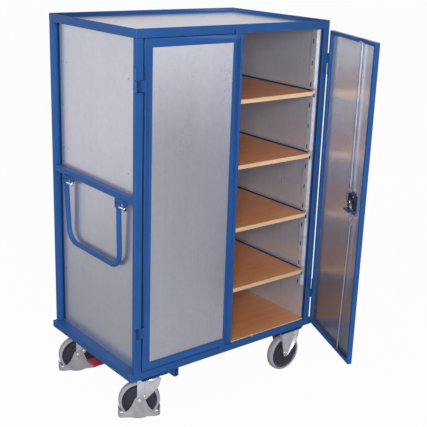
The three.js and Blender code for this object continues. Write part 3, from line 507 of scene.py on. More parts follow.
def paintedSteel(name, values):
    # gloss coat with a fine orange peel, slow tone drift, paler arrises that are partly wear and partly a painted
    # highlight, and a trace of dust
    material, tree, shader, where = newMaterial(name)
    drift = useGroup(tree, grain, Vector=where, Size=values["drift"], Detail=4.0)
    peel = useGroup(tree, grain, Vector=where, Size=values["peel"], Detail=2.0)
    color = useGroup(tree, tone, Color=values["color"], Value=drift, Low=0.94, High=1.06)
    wornAndLit = useGroup(tree, edgeWearAndHighlight, Vector=where, Amount=values["wearAndHighlight"])
    color = mixColor(tree, wornAndLit, color, values["wornAndLit"])
    color = mixColor(tree, useGroup(tree, dust, Vector=where, Amount=values["dust"]), color, values["dusty"])
    tree.links.new(color, shader.inputs["Base Color"])
    low, high = values["roughness"]
    tree.links.new(rangeOf(tree, drift, low, high), shader.inputs["Roughness"])
    shader.inputs["Specular IOR Level"].default_value = values["gloss"]
    addBump(tree, shader, peel, values["peelDepth"])
    return material


# rise: tone at the foot and head of the sheet, then the two heights in metres between which it changes; it is
# painted light and shade
sheet = {"color": rgb(0.54, 0.535, 0.60), "cells": 60.0, "roll": (1.0, 1.0, 0.003), "rollSize": 260.0,
         "roughness": (0.27, 0.31), "metal": 0.82, "rise": None, "marks": 0.15, "slant": 0.0,
         "scratch": rgb(0.9, 0.9, 0.93), "brushSize": 700.0, "brush": 0.000015}
# the closed door's sheet grows lighter towards its head: painted light
doorSheet = dict(sheet, rise=(1.0, 1.2, 1.05, 1.42), marks=0.18, slant=0.5)
# the open door's sheet is a lighter copy with a steep rise: painted light towards its head, painted shade and
# reflection of the dark inside towards its foot
openSheet = dict(sheet, color=rgb(0.77, 0.785, 0.90), rise=(0.42, 1.50, 0.1, 1.35), roughness=(0.27, 0.31))
innerSheet = dict(sheet, metal=0.58, color=rgb(0.56, 0.56, 0.63))
# the top sheet is a darker copy: painted shade
topSheet = dict(innerSheet, color=rgb(0.46, 0.455, 0.54))


def zincSheet(name, values):
    # zinc-coated sheet: crystals, fine rolling lines up and down, a few hair scratches, a tone that rises with
    # height as painted light and shade
    material, tree, shader, where = newMaterial(name)
    crystals = useGroup(tree, spangle, Vector=where, Size=values["cells"], Bend=0.004)
    lines = useGroup(tree, grain, Vector=where, Stretch=values["roll"], Size=values["rollSize"], Detail=3.0)
    drift = useGroup(tree, grain, Vector=where, Stretch=(1, 1, 0.25), Size=7.0, Detail=4.0)
    color = useGroup(tree, tone, Color=values["color"], Value=crystals, Low=0.976, High=1.024)
    color = useGroup(tree, tone, Color=color, Value=lines, Low=0.97, High=1.03)
    color = useGroup(tree, tone, Color=color, Value=drift, Low=0.97, High=1.03)
    # the rise is painted light and shade: darker towards the foot, lighter towards the head
    if values["rise"]:
        shadedFoot, litHead, low, high = values["rise"]
        level = addNode(tree, "ShaderNodeSeparateXYZ", {0: where}).outputs[2]
        risen = rangeOf(tree, level, 0.0, 1.0, low, high)
        color = useGroup(tree, tone, Color=color, Value=risen, Low=shadedFoot, High=litHead)
    marks = useGroup(tree, scuffs, Vector=where, Turn=(0.0, values["slant"], 0.0), Stretch=(1.0, 1.0, 0.03),
                     Size=18.0, Width=0.003, Amount=values["marks"])
    color = mixColor(tree, marks, color, values["scratch"])
    tree.links.new(color, shader.inputs["Base Color"])
    shader.inputs["Metallic"].default_value = values["metal"]
    low, high = values["roughness"]
    tree.links.new(rangeOf(tree, drift, low, high), shader.inputs["Roughness"])
    brushed = useGroup(tree, grain, Vector=where, Stretch=values["roll"], Size=values["brushSize"], Detail=2.0)
    addBump(tree, shader, brushed, values["brush"])
    return material


plating = {"handled": rgb(0.85, 0.85, 0.86), "fine": 600.0, "depth": 0.00002}


def platedSteel(name, color, roughness, cells=90.0, metallic=0.9, marks=0.4):
    # zinc-plated pressings and bolts: small cells, soft cloudy tone, light handling marks
    material, tree, shader, where = newMaterial(name)
    crystals = useGroup(tree, spangle, Vector=where, Size=cells, Bend=0.006)
    cloud = useGroup(tree, grain, Vector=where, Size=22.0, Detail=5.0, Warp=0.4)
    shade = useGroup(tree, tone, Color=color, Value=crystals, Low=0.93, High=1.06)
    shade = useGroup(tree, tone, Color=shade, Value=cloud, Low=0.88, High=1.08)
    handled = useGroup(tree, scuffs, Vector=where, Turn=(0.3, 0.7, 0.2), Stretch=(1.0, 1.0, 0.15), Size=60.0,
                       Width=0.01, Amount=marks)
    shade = mixColor(tree, handled, shade, plating["handled"])
    tree.links.new(shade, shader.inputs["Base Color"])
    shader.inputs["Metallic"].default_value = metallic
    tree.links.new(rangeOf(tree, cloud, roughness * 0.8, roughness * 1.25), shader.inputs["Roughness"])
    fine = useGroup(tree, grain, Vector=where, Size=plating["fine"], Detail=3.0)
    addBump(tree, shader, fine, plating["depth"])
    return material


board = {"face": rgb(0.62, 0.26, 0.115), "dark": rgb(0.43, 0.165, 0.070), "edge": rgb(0.68, 0.46, 0.29),
         "edgeDark": rgb(0.50, 0.32, 0.18), "bandSize": 26.0, "poreSize": 420.0, "layerSize": 240.0,
         "poreDepth": 0.00005}


def beechBoard(name, values):
    # beech-faced board: long pores and slow bands along X, pale banding with fine layers on the edges
    material, tree, shader, where = newMaterial(name)
    bands = useGroup(tree, grain, Vector=where, Stretch=(0.05, 1.0, 1.0), Size=values["bandSize"], Detail=4.0,
                     Warp=0.6)
    pores = useGroup(tree, grain, Vector=where, Stretch=(0.035, 1.0, 1.0), Size=values["poreSize"], Detail=3.0)
    face = mixColor(tree, bands, values["dark"], values["face"])
    face = mixColor(tree, rangeOf(tree, bands, 0.55, 1.0), values["face"], face)
    face = useGroup(tree, tone, Color=face, Value=pores, Low=0.82, High=1.12)
    layers = useGroup(tree, grain, Vector=where, Stretch=(0.02, 0.02, 1.0), Size=values["layerSize"], Detail=2.0)
    edge = mixColor(tree, layers, values["edgeDark"], values["edge"])
    geometry = addNode(tree, "ShaderNodeNewGeometry")
    parts = addNode(tree, "ShaderNodeSeparateXYZ", {0: geometry.outputs["Normal"]})
    level = addNode(tree, "ShaderNodeMath", {0: parts.outputs[2]}, operation="ABSOLUTE").outputs[0]
    isFace = rangeOf(tree, level, 0.0, 1.0, 0.45, 0.75)
    tree.links.new(mixColor(tree, isFace, edge, face), shader.inputs["Base Color"])
    tree.links.new(rangeOf(tree, pores, 0.52, 0.38), shader.inputs["Roughness"])
    addBump(tree, shader, pores, values["poreDepth"])
    return material


moulding = {"dusty": rgb(0.3, 0.29, 0.28), "dust": 0.15}


def mouldedPlastic(name, color, roughness, size=500.0, depth=0.00006, metallic=0.0, gloss=0.5):
    # moulded or coated black and red parts: a fine texture and a worn sheen
    material, tree, shader, where = newMaterial(name)
    texture = useGroup(tree, grain, Vector=where, Size=size, Detail=3.0)
    cloud = useGroup(tree, grain, Vector=where, Size=18.0, Detail=4.0)
    shade = useGroup(tree, tone, Color=color, Value=cloud, Low=0.85, High=1.15)
    settled = useGroup(tree, dust, Vector=where, Amount=moulding["dust"])
    shade = mixColor(tree, settled, shade, moulding["dusty"])
    tree.links.new(shade, shader.inputs["Base Color"])
    shader.inputs["Metallic"].default_value = metallic
    shader.inputs["Specular IOR Level"].default_value = gloss
    tree.links.new(rangeOf(tree, cloud, roughness * 0.85, roughness * 1.2), shader.inputs["Roughness"])
    addBump(tree, shader, texture, depth)
    return material


tyreRubber = {"color": rgb(0.30, 0.285, 0.335), "roughness": 0.62, "mottle": 260.0, "depth": 0.00008}


def rubberTyre(name, values):
    # grey rubber: dull, finely mottled, with a slow cloud of darker grey
    material, tree, shader, where = newMaterial(name)
    mottle = useGroup(tree, grain, Vector=where, Size=values["mottle"], Detail=4.0)
    cloud = useGroup(tree, grain, Vector=where, Size=24.0, Detail=4.0)
    shade = useGroup(tree, tone, Color=values["color"], Value=mottle, Low=0.92, High=1.07)
    shade = useGroup(tree, tone, Color=shade, Value=cloud, Low=0.88, High=1.06)
    tree.links.new(shade, shader.inputs["Base Color"])
    shader.inputs["Roughness"].default_value = values["roughness"]
    addBump(tree, shader, mottle, values["depth"])
    return material


blueCoat = paintedSteel("blue coat", coat)
zinc = zincSheet("zinc sheet", sheet)
doorZinc = zincSheet("zinc door sheet", doorSheet)
openZinc = zincSheet("zinc sheet of the open door", openSheet)
innerZinc = zincSheet("duller zinc sheet", innerSheet)
topZinc = zincSheet("zinc top sheet", topSheet)
darkCoat = paintedSteel("blue coat in shade", dict(coat, color=rgb(0.008, 0.030, 0.085),
                                                   wornAndLit=rgb(0.02, 0.05, 0.12), gloss=0.15))
# a darker blue for the narrow lines beside the door lips: painted shade
shadeLineCoat = paintedSteel("blue coat darkened for a painted shade line", dict(coat, color=rgb(0.012, 0.050, 0.165), gloss=0.15))
galvanised = platedSteel("galvanised strip", rgb(0.54, 0.55, 0.61), 0.36, cells=70.0, metallic=0.55)
pressed = platedSteel("pressed zinc steel", rgb(0.68, 0.685, 0.73), 0.32, cells=220.0, metallic=0.8, marks=0.15)
rodZinc = platedSteel("dull rod zinc", rgb(0.27, 0.28, 0.36), 0.36, cells=160.0, metallic=0.7, marks=0.1)
# dark pressed steel: on the inner fork legs it is painted shade; the side rivets take it too
darkPressed = platedSteel("dark pressed steel", rgb(0.075, 0.075, 0.09), 0.5, cells=220.0, metallic=0.6,
                          marks=0.1)
bright = platedSteel("bright zinc", rgb(0.66, 0.66, 0.68), 0.18, cells=160.0, metallic=1.0)
guardGrey = platedSteel("grey guard coat", rgb(0.36, 0.36, 0.39), 0.38, cells=60.0, metallic=0.45, marks=0.3)
blackSteel = mouldedPlastic("black coated steel", rgb(0.012, 0.012, 0.014), 0.38, size=700.0, depth=0.00003,
                            metallic=0.2)
blackPlastic = mouldedPlastic("black plastic", rgb(0.011, 0.011, 0.013), 0.42, gloss=0.25)
rimPlastic = mouldedPlastic("dark rim plastic", rgb(0.026, 0.026, 0.036), 0.42, gloss=0.3)
redPlastic = mouldedPlastic("red plastic", rgb(0.36, 0.012, 0.035), 0.35)
beech = beechBoard("beech board", board)
rubber = rubberTyre("grey rubber", tyreRubber)
print("finishes made")


# Steelwork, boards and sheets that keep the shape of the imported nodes

hinge = {"x": 543.5, "y": -363.5, "open": 67.2}   # where the doors turn, and how far the right one stands open
leftPlace = at(-hinge["x"], hinge["y"], 0)
doorPlace = at(hinge["x"], hinge["y"], 0, hinge["open"])
rounding = {"rails": 2.0, "posts": 2.6, "rim": 1.6, "doors": 2.0, "slim": 1.4, "small": 1.2}

slim = {"edge": 46.5, "edgeBy": 3.2, "inner": 26.5, "innerBy": 1.8, "near": 0.2}


def slimFrame(points):
    # the open door's frame a little narrower on its hinge side and thinner, for the gap beside the post
    own = (points / mm - doorPlace[:3, 3]) @ doorPlace[:3, :3]
    own[:, 0] -= np.where(np.abs(own[:, 0] + slim["edge"]) < slim["near"], slim["edgeBy"], 0.0)
    own[:, 1] -= np.where(np.abs(own[:, 1] - slim["inner"]) < slim["near"], slim["innerBy"], 0.0)
    return (own @ doorPlace[:3, :3].T + doorPlace[:3, 3]) * mm


steelwork = [
    (("base_rail_front", "base_rail_back", "base_rail_left", "base_rail_right"), "cabinet", rounding["rails"]),
    (("caster_channel_left", "caster_channel_right"), "cabinet", rounding["small"]),
    (("cross_member", "side_rail_right"), "cabinet", rounding["rails"]),
    (("post_front_left", "post_front_right", "post_back_left", "post_back_right"), "cabinet", rounding["posts"]),
    (("top_rim",), "cabinet", rounding["rim"]),
    (("left_door_frame", "closing_strip"), "left_door", rounding["doors"]),
]
for names, body, width in steelwork:
    for nodeName in names:
        roundedCopy(nodeName, blueCoat, body, width)
roundedCopy("right_door_frame", blueCoat, "right_door", rounding["slim"], slimFrame)
# the shelf bearers take the blue coat in shade: painted shade under the shelves
for number in "1234":
    for end in ("left", "right"):
        roundedCopy(f"shelf_bearer_{end}_{number}", darkCoat, "cabinet", rounding["small"])
    dress(f"shelf_{number}", beech)
dress("floor_board", beech)
dress("side_panel_left", zinc)
dress("left_door_sheet", doorZinc)
dress("right_door_sheet", openZinc)
dress("top_sheet", topZinc)
for nodeName in ("side_panel_right", "back_panel"):
    dress(nodeName, innerZinc)
for face in ("front", "back"):
    for end in ("left", "right"):
        dress(f"upright_{face}_{end}", galvanised)
print("steelwork rounded")


# Wheels

wheelForm = {"radius": 97.0, "tyreHalf": 19.3, "tyreRoot": 83.5, "tyreSink": 1.5, "bulge": 0.62, "shoulder": 0.8,
             "rimHalf": 16.2, "bead": 84.5, "well": 72.0, "disc": 9.5, "hub": 17.5, "hubHalf": 23.5, "sides": 72,
             "ribs": 10, "ribFrom": 29.0, "ribRoot": 1.2, "ribTip": 1.8, "ribTall": 1.1}


def tyreShape(form):
    # a rounded section: half width times sin t, height times cos t to a power below one, carried round the axle
    t = np.radians(np.linspace(-90, 90, 29))
    along = form["tyreHalf"] * np.sign(np.sin(t)) * np.abs(np.sin(t)) ** form["shoulder"]
    tall = form["tyreRoot"] + (form["radius"] - form["tyreRoot"]) * np.abs(np.cos(t)) ** form["bulge"]
    sunk = form["tyreRoot"] - form["tyreSink"]
    inner = [(sunk, form["rimHalf"]), (sunk, -form["rimHalf"])]
    return turned(np.concatenate([np.stack([tall, along], 1), inner]), form["sides"], closed=True)


def rimShape(form):
    # bead, step, dished disc with two low rings, hub: half a section and its mirror, carried round the axle
    bead, half, well = form["bead"], form["rimHalf"], form["well"]
    disc, hub, end = form["disc"], form["hub"], form["hubHalf"]
    section = np.array([(bead, half - 2.5), (bead - 0.8, half), (bead - 4, half), (bead - 5.5, half - 1.5),
                        (well + 1, half - 3), (well - 1, disc + 2.2), (well - 4, disc + 1.2), (61, disc + 0.6),
                        (59.5, disc + 1.8), (56.5, disc + 1.8), (55, disc + 0.4), (42, disc - 0.6), (36, disc),
                        (34.5, disc + 3.2), (31, disc + 3.8), (29.5, disc + 1), (hub + 4, disc + 1.5),
                        (hub + 1, end - 3), (hub - 1, end), (7.5, end), (6.6, end - 1)])
    return turned(np.concatenate([section, section[::-1] * (1, -1)]), form["sides"], closed=True)


def ribShapes(form):
    # tapering ribs on both faces of the disc, evenly round the axle
    reach, low, high = form["well"] - 2, form["disc"] - 2, form["disc"] + form["ribTall"]
    outline = [(form["ribFrom"], -form["ribRoot"]), (reach, -form["ribTip"]), (reach, form["ribTip"]),
               (form["ribFrom"], form["ribRoot"])]
    turns = [at(0, 0, 0, (k + 0.5) * 360 / form["ribs"]) for k in range(form["ribs"])]
    return [placed(drawn(outline, *span, "z"), turn) for turn in turns for span in ((-high, -low), (low, high))]


axleLevel = -196.27
trail = 48.8   # from the swivel axis back to the wheel's axle
acrossY = facing((0, 1, 0))
swivels = {"front": {"x": -405, "y": -285, "yaw": -28.5}, "back": {"x": -405, "y": 285, "yaw": -20.5}}
fixed = {"front": {"x": 435, "y": -285}, "back": {"x": 435, "y": 285}}


def addWheel(name, body, node, place):
    # tyre and ribbed rim, turned from local Z to the axle's direction
    makePiece(name + "_tyre", [placed(tyreShape(wheelForm), acrossY)], rubber, body, (node,),
              place=place, sharp=50)
    rim = [placed(s, acrossY) for s in [rimShape(wheelForm), *ribShapes(wheelForm)]]
    makePiece(name + "_rim", rim, rimPlastic, body, edge=0.6, place=place, sharp=32)


for face, spot in swivels.items():
    addWheel(f"{face}_swivel_wheel", f"{face}_swivel_wheel", f"swivel_wheel_{face}",
             at(spot["x"], spot["y"], 0, spot["yaw"]) @ at(-trail, 0, axleLevel))
for face, spot in fixed.items():
    addWheel(f"{face}_fixed_wheel", f"{face}_fixed_wheel", f"fixed_wheel_{face}",
             at(spot["x"], spot["y"], axleLevel))
print("wheels turned")


# Plates and axles that both kinds of caster share

plateForm = {"top": -53.3, "low": -56.3, "halfLong": 67.5, "halfWide": 55.0, "corner": 9.0,
             "bolt": (7.0, 5.0, 9.5, 2.5)}   # size, thickness, washer and thread of the mounting bolts
axleForm = {"size": 9.5, "thick": 6.0, "washer": 12.5, "nutThick": 5.0, "stub": 2.5, "radius": 5.9}


def plateShape(form):
    # a flat plate with round corners
    outline = roundedOblong(form["halfLong"], form["halfWide"], form["corner"])
    return drawn(outline, form["low"], form["top"], "z")


def plateBolts(form, x, y):
    # four bolts from below, one near each corner
    return [placed(hexBolt(*form["bolt"]), facing((0, 0, -1), (sx * x, sy * y, form["low"])))
            for sx in (-1, 1) for sy in (-1, 1)]


def axleBolts(form, x, y, size):
    # a hex head on one side, a nut with a short thread on the other and the pin between them
    head = hexBolt(size, form["thick"], form["washer"])
    nut = hexBolt(size, form["nutThick"], form["washer"], form["stub"])
    return [placed(head, facing((0, -1, 0), (x, -y, axleLevel))),
            placed(nut, facing((0, 1, 0), (x, y, axleLevel))),
            placed(pin(form["radius"], -y, y), facing((0, 1, 0), (x, 0, axleLevel)))]


# Swivel casters

swivelForm = {"boltX": 54.0, "boltY": 43.0, "crown": -66.6, "legMiddle": 25.5, "bend": 9.0, "back": -60.8,
              "steel": 3.0, "tip": -212.5, "tipHalf": 12.0, "tipRound": 16.5, "axleY": 29.9,
              "grooveAt": 36.0, "grooveWide": 3.4, "ridgeAt": 46.5, "ridgeWide": 7.0, "ridgeShare": 0.5,
              "pressDepth": 4.6, "fadeFrom": 20.0, "fadeOver": 10.0, "fadeBelow": 3.0, "fadeTop": 14.0,
              "curve": [(-212.5, -46.8), (-207.0, -38.8), (-196.3, -32.0), (-183.6, -16.5), (-165.0, 1.0),
                        (-152.0, 14.0), (-139.0, 26.0), (-126.0, 35.5), (-113.0, 42.0), (-100.0, 46.0),
                        (-90.0, 48.2), (-78.0, 50.0)],   # height and x of the leg's leading edge
              "race": [(0, 0), (38.5, 0), (39.2, -1.5), (38, -3), (34, -4), (36.5, -5.2), (36.5, -7), (35, -8),
                       (0, -8)],   # radius and height below the plate
              "dish": [(0, -65.6), (34, -65.6), (42, -67.4), (47.5, -70.6), (50.2, -75), (50.8, -80), (50.2, -83),
                       (48.6, -83.4), (47.8, -80), (47.0, -76), (44.5, -73), (38, -71), (0, -70.5)],
              "nut": (12.5, 7.0, 15.5, 3.0), "nutDrop": 3.5}


def swivelPlateShapes(form):
    # the plate and under it the ball race with its rolled lip
    race = turned([(radius, plateForm["low"] + height) for radius, height in form["race"]], 48)
    return [plateShape(plateForm), race]


def crownShapes(form):
    # the round head of the fork: a dish whose rim is rolled down, with the king pin's nut under it
    nut = placed(hexBolt(*form["nut"]), facing((0, 0, -1), (0, 0, form["crown"] - form["nutDrop"])))
    return [turned(form["dish"], 56), nut]


def pressedFork(form):
    # one strip bent over the crown: up one leg, across, down the other; its width follows the height
    # each leg has a sunk groove and a raised ridge, bell curves across it, that fade out above the axle
    legs = np.linspace(form["tip"], form["crown"] - form["bend"], 40)
    bend = np.radians(np.linspace(0, 90, 7))[1:]
    shoulder = form["legMiddle"] - form["bend"] * (1 - np.cos(bend))
    y = np.concatenate([np.full(40, form["legMiddle"]), shoulder, [0.0]])
    z = np.concatenate([legs, form["crown"] - form["bend"] * (1 - np.sin(bend)), [form["crown"]]])
    y, z = np.concatenate([-y, y[::-1][1:]]), np.concatenate([z, z[::-1][1:]])
    below = np.sqrt(np.clip(1 - ((axleLevel - z) / form["tipRound"]) ** 2, 0.01, 1))
    left = np.where(z < axleLevel, -trail - form["tipHalf"] * below, form["back"])
    right = np.interp(z, *np.array(form["curve"]).T)
    x = left[:, None] + (right - left)[:, None] * np.linspace(0, 1, 56)
    across = x - form["back"]
    fadeUp = np.clip((z - axleLevel - form["fadeFrom"]) / form["fadeOver"], 0, 1)
    fadeDown = np.clip((form["crown"] - form["fadeBelow"] - z) / form["fadeTop"], 0, 1)
    fade = (fadeUp * fadeDown)[:, None]
    fade = fade * fade * (3 - 2 * fade)
    sunk = np.exp(-((across - form["grooveAt"]) / form["grooveWide"]) ** 2) * form["pressDepth"]
    ridge = form["pressDepth"] * form["ridgeShare"]
    proud = np.exp(-((across - form["ridgeAt"]) / form["ridgeWide"]) ** 2) * ridge
    y = y[:, None] + np.sign(y)[:, None] * (proud - sunk) * fade
    return surface(x, y, z[:, None])


guardForm = {"halfLong": 96.8, "middleY": 28.55, "corner": 20.0, "floor": -275.0, "endTop": -232.5, "steel": 2.5,
             "endInset": 3.5, "endRamp": 9.0,
             "rise": [(0, -168.3), (7, -169.2), (14, -171.9), (20, -176.4), (24.5, -182.4), (28, -190.5),
                      (31, -199), (35, -208.5), (40, -218.5), (47, -229.5), (56, -239.5), (68, -247),
                      (80, -250.5), (97, -251.0)]}   # distance from the axle and height of the upper edge


def guardShape(form):
    # an upright band round a rounded oblong; its upper edge follows a dome that flares into low sides, and the
    # two end walls rise again between their corners
    straight = form["halfLong"] - form["corner"]
    dense = np.linspace(-straight, straight, 91)
    turn = np.radians(np.linspace(0, 90, 9))[1:-1]
    cornerX, cornerY = form["corner"] * np.sin(turn), form["corner"] * np.cos(turn)
    flatEnd = form["middleY"] - form["corner"]
    endX, endY = np.full(5, form["halfLong"]), np.linspace(flatEnd, -flatEnd, 5)
    sideY = np.full(len(dense), form["middleY"])
    x = np.concatenate([dense, straight + cornerX, endX, straight + cornerX[::-1],
                        dense[::-1], -straight - cornerX, -endX, -straight - cornerX[::-1]])
    y = np.concatenate([sideY, flatEnd + cornerY, endY, -flatEnd - cornerY[::-1],
                        -sideY, -flatEnd - cornerY, endY[::-1], flatEnd + cornerY[::-1]])
    far, tall = np.array(form["rise"]).T
    top = np.interp(np.abs(x), far, tall)
    ends = np.clip((form["middleY"] - form["endInset"] - np.abs(y)) / form["endRamp"], 0, 1)
    ends = ends * (np.abs(x) > straight + 1)
    top = top + (form["endTop"] - top) * ends * ends * (3 - 2 * ends)
    z = form["floor"] + (top[:, None] - form["floor"]) * np.linspace(0, 1, 7)
    return surface(x[:, None] - trail, y[:, None], z, loopRows=True)


for face, spot in swivels.items():
    place = at(spot["x"], spot["y"], 0, spot["yaw"])
    body = f"{face}_swivel"
    bolts = plateBolts(plateForm, swivelForm["boltX"], swivelForm["boltY"])
    makePiece(f"swivel_plate_{face}_pressed", swivelPlateShapes(swivelForm) + bolts, pressed, "cabinet",
              (f"swivel_plate_{face}",), edge=0.7, place=at(spot["x"], spot["y"], 0))
    makePiece(f"swivel_fork_{face}_pressed", [pressedFork(swivelForm)], pressed, body,
              (f"swivel_fork_{face}",), edge=0.7, wall=swivelForm["steel"], place=place, sharp=50)
    makePiece(f"swivel_crown_{face}", crownShapes(swivelForm), pressed, body, edge=0.5,
              place=place)
    axle = axleBolts(axleForm, -trail, swivelForm["axleY"], axleForm["size"])
    makePiece(f"swivel_axle_{face}", axle, bright, body, edge=0.4, place=place)
    makePiece(f"foot_guard_{face}_pressed", [guardShape(guardForm)], guardGrey, body,
              (f"foot_guard_{face}",), edge=0.8, wall=guardForm["steel"], place=place, sharp=50)
print("swivel casters pressed")


# Fixed casters

fixedForm = {"top": -56.0, "leftTop": 56.0, "leftTip": 16.5, "flangeTop": 21.0, "flangeTip": 4.0,
             "flangePower": 0.9, "bend": 4.0, "legMiddle": 25.5, "steel": 3.0, "boltX": 60.5, "boltY": 46.0,
             "axleY": 27.1, "axleSize": 8.0, "tipRun": 17.2, "tipRound": 17.5,
             "right": [(-200, 19.0), (-190, 27.0), (-175, 38.5), (-159, 48.5), (-140, 57.0), (-115, 63.5),
                       (-84, 66.5), (-56, 67.0)]}   # height and x of the wider side


def foldedLeg(form, face):
    # a tapering plate with a rounded tip, both slanted edges folded outward round a small bend
    tip = axleLevel - form["tipRun"] * np.sin(np.radians(np.linspace(4, 88, 16)))
    z = np.concatenate([np.linspace(form["top"], axleLevel, 30), tip])
    share = np.clip((z - axleLevel) / (form["top"] - axleLevel), 0, 1)
    below = np.sqrt(np.clip(1 - (np.clip(axleLevel - z, 0, None) / form["tipRound"]) ** 2, 0, 1))
    left = (form["leftTip"] + (form["leftTop"] - form["leftTip"]) * share) * below
    right = np.interp(z, *np.array(form["right"]).T) * below
    flange = form["flangeTip"] + (form["flangeTop"] - form["flangeTip"]) * share ** form["flangePower"]
    flange = flange * np.clip(below, 0.12, 1)
    bend = np.minimum(form["bend"], np.minimum(flange * 0.9, left * 0.6))
    a = np.radians(np.linspace(0, 90, 6))
    left, right, flange, bend = left[:, None], right[:, None], flange[:, None], bend[:, None]
    edgeX, edgeY = np.zeros((1, 5)), flange + (bend - flange) * np.linspace(0, 1, 5)
    bendX, bendY = bend * (1 - np.cos(a)), bend * (1 - np.sin(a))
    middleX = -left + bend + (left + right - 2 * bend) * np.linspace(0, 1, 12)[1:-1]
    x = np.concatenate([(edgeX - left)[:, :-1], bendX - left, middleX, (right - bendX)[:, ::-1],
                        (right - edgeX)[:, ::-1][:, 1:]], 1)
    y = np.concatenate([edgeY[:, :-1], bendY, 0 * middleX, bendY[:, ::-1], edgeY[:, ::-1][:, 1:]], 1)
    return surface(x, face * (form["legMiddle"] + y), z[:, None])


for face, spot in fixed.items():
    place = at(spot["x"], spot["y"], 0)
    outside = -1 if face == "front" else 1
    # the inner legs take the dark pressed steel: painted shade under the cabinet
    for name, leg, steel in (("outer", outside, pressed), ("inner", -outside, darkPressed)):
        makePiece(f"fixed_fork_{face}_{name}", [foldedLeg(fixedForm, leg)], steel, "cabinet",
                  (f"fixed_fork_{face}",), edge=0.7, wall=fixedForm["steel"], place=place,
                  sharp=50)
    makePiece(f"fixed_plate_{face}",
              [plateShape(plateForm)] + plateBolts(plateForm, fixedForm["boltX"], fixedForm["boltY"]), pressed,
              "cabinet", edge=0.7, place=place)
    axle = axleBolts(axleForm, 0, fixedForm["axleY"], fixedForm["axleSize"])
    makePiece(f"fixed_axle_{face}", axle, bright, "cabinet", edge=0.4, place=place)
print("fixed casters pressed")


# Push bar, its brackets under the left middle rail and its pivot bolts

bar = {"plane": -537.0, "radius": 11.5, "leg": 227.0, "top": 764.5, "grip": 460.0, "bend": 66.0, "pivot": 747.0,
       "lean": 9.0, "gather": 7.0}


def barPath(form):
    # down one leg, round a bend and half way across, then mirrored; it leans in and draws together lower down
    leg, low, bend = form["leg"], form["grip"], form["bend"]
    side = np.stack([np.full(18, -leg), np.linspace(form["top"], low + bend, 18)], 1)
    first = arcPoints((-leg + bend, low + bend), bend, 180, 270, 16)
    flat = np.stack([np.linspace(-leg + bend, leg - bend, 14)[1:-1], np.full(12, low)], 1)
    half = np.concatenate([side, first[1:], flat])
    whole = np.concatenate([half, (first * (-1, 1))[::-1], (side * (-1, 1))[::-1][1:]])
    drop = np.clip((form["pivot"] - whole[:, 1]) / (form["pivot"] - low), 0, 1)
    return np.stack([form["plane"] + form["lean"] * drop, whole[:, 0] * (1 - form["gather"] / leg * drop),
                     whole[:, 1]], 1)


ears = {"near": 16.0, "far": -50.0, "thick": 3.0, "outer": -546.5, "inner": -515.0, "low": 738.0, "slope": 774.0,
        "roof": 769.5, "top": 781.0, "flare": 0.2}
leftRail = {"outer": -538.0, "inner": -508.3, "halfY": 335.7, "low": 780.0, "high": 808.0}
barBolt = {"near": 19.3, "far": 50.3, "head": (8.0, 5.0, 9.5), "pin": 5.0, "sleeve": 7.5, "sleeveFrom": 4.0,
           "sleeveTo": 9.0}


def bracketShapes(form, leg):
    # a folded block under the rail and an ear on each side of the bar's leg, round under the pivot
    axis, level = bar["plane"], bar["pivot"]
    under = arcPoints((axis, level), level - form["low"], 180, 350, 12)
    ear = np.concatenate([[(form["outer"], form["top"]), (form["outer"] + form["flare"], level)], under,
                          [(form["inner"], form["slope"]), (form["inner"], form["top"])]])
    shapes = [drawn(ear, leg + y, leg + y + form["thick"], "y") for y in (form["near"], form["far"])]
    return shapes + [box(form["outer"], form["inner"], leg + form["far"], leg + form["near"] + form["thick"],
                         form["roof"], form["top"])]


def barBoltShapes(form, leg):
    # a head outside each ear, the pin between them and a sleeve beside the bar
    near, far = leg + form["near"], leg - form["far"]
    through = facing((0, 1, 0), (bar["plane"], 0, bar["pivot"]))
    return [placed(hexBolt(*form["head"]), facing((0, 1, 0), (bar["plane"], near, bar["pivot"]))),
            placed(hexBolt(*form["head"]), facing((0, -1, 0), (bar["plane"], far, bar["pivot"]))),
            placed(pin(form["pin"], far, near), through),
            placed(pin(form["sleeve"], far + form["sleeveFrom"], leg - form["sleeveTo"], 24), through)]


legs = (-bar["leg"], bar["leg"])
railShapes = [box(leftRail["outer"], leftRail["inner"], -leftRail["halfY"], leftRail["halfY"], leftRail["low"],
                  leftRail["high"])]
railShapes += [shape for leg in legs for shape in bracketShapes(ears, leg)]
makePiece("side_rail_left_folded", railShapes, blueCoat, "cabinet", ("side_rail_left",),
          edge=1.4, edgeSteps=3)
makePiece("push_bar_tube", [tube(barPath(bar), bar["radius"], (1, 0, 0), 28)], blueCoat, "push_handle",
          ("push_bar",), edge=1.5, sharp=60)
barBolts = [shape for leg in legs for shape in barBoltShapes(barBolt, leg)]
makePiece("push_bar_bolts", barBolts, bright, "push_handle", edge=0.4)
print("push bar bent")


# Lock, rods and outside handle, drawn with the door closed and its hinge axis at the origin: x = -u, y = v

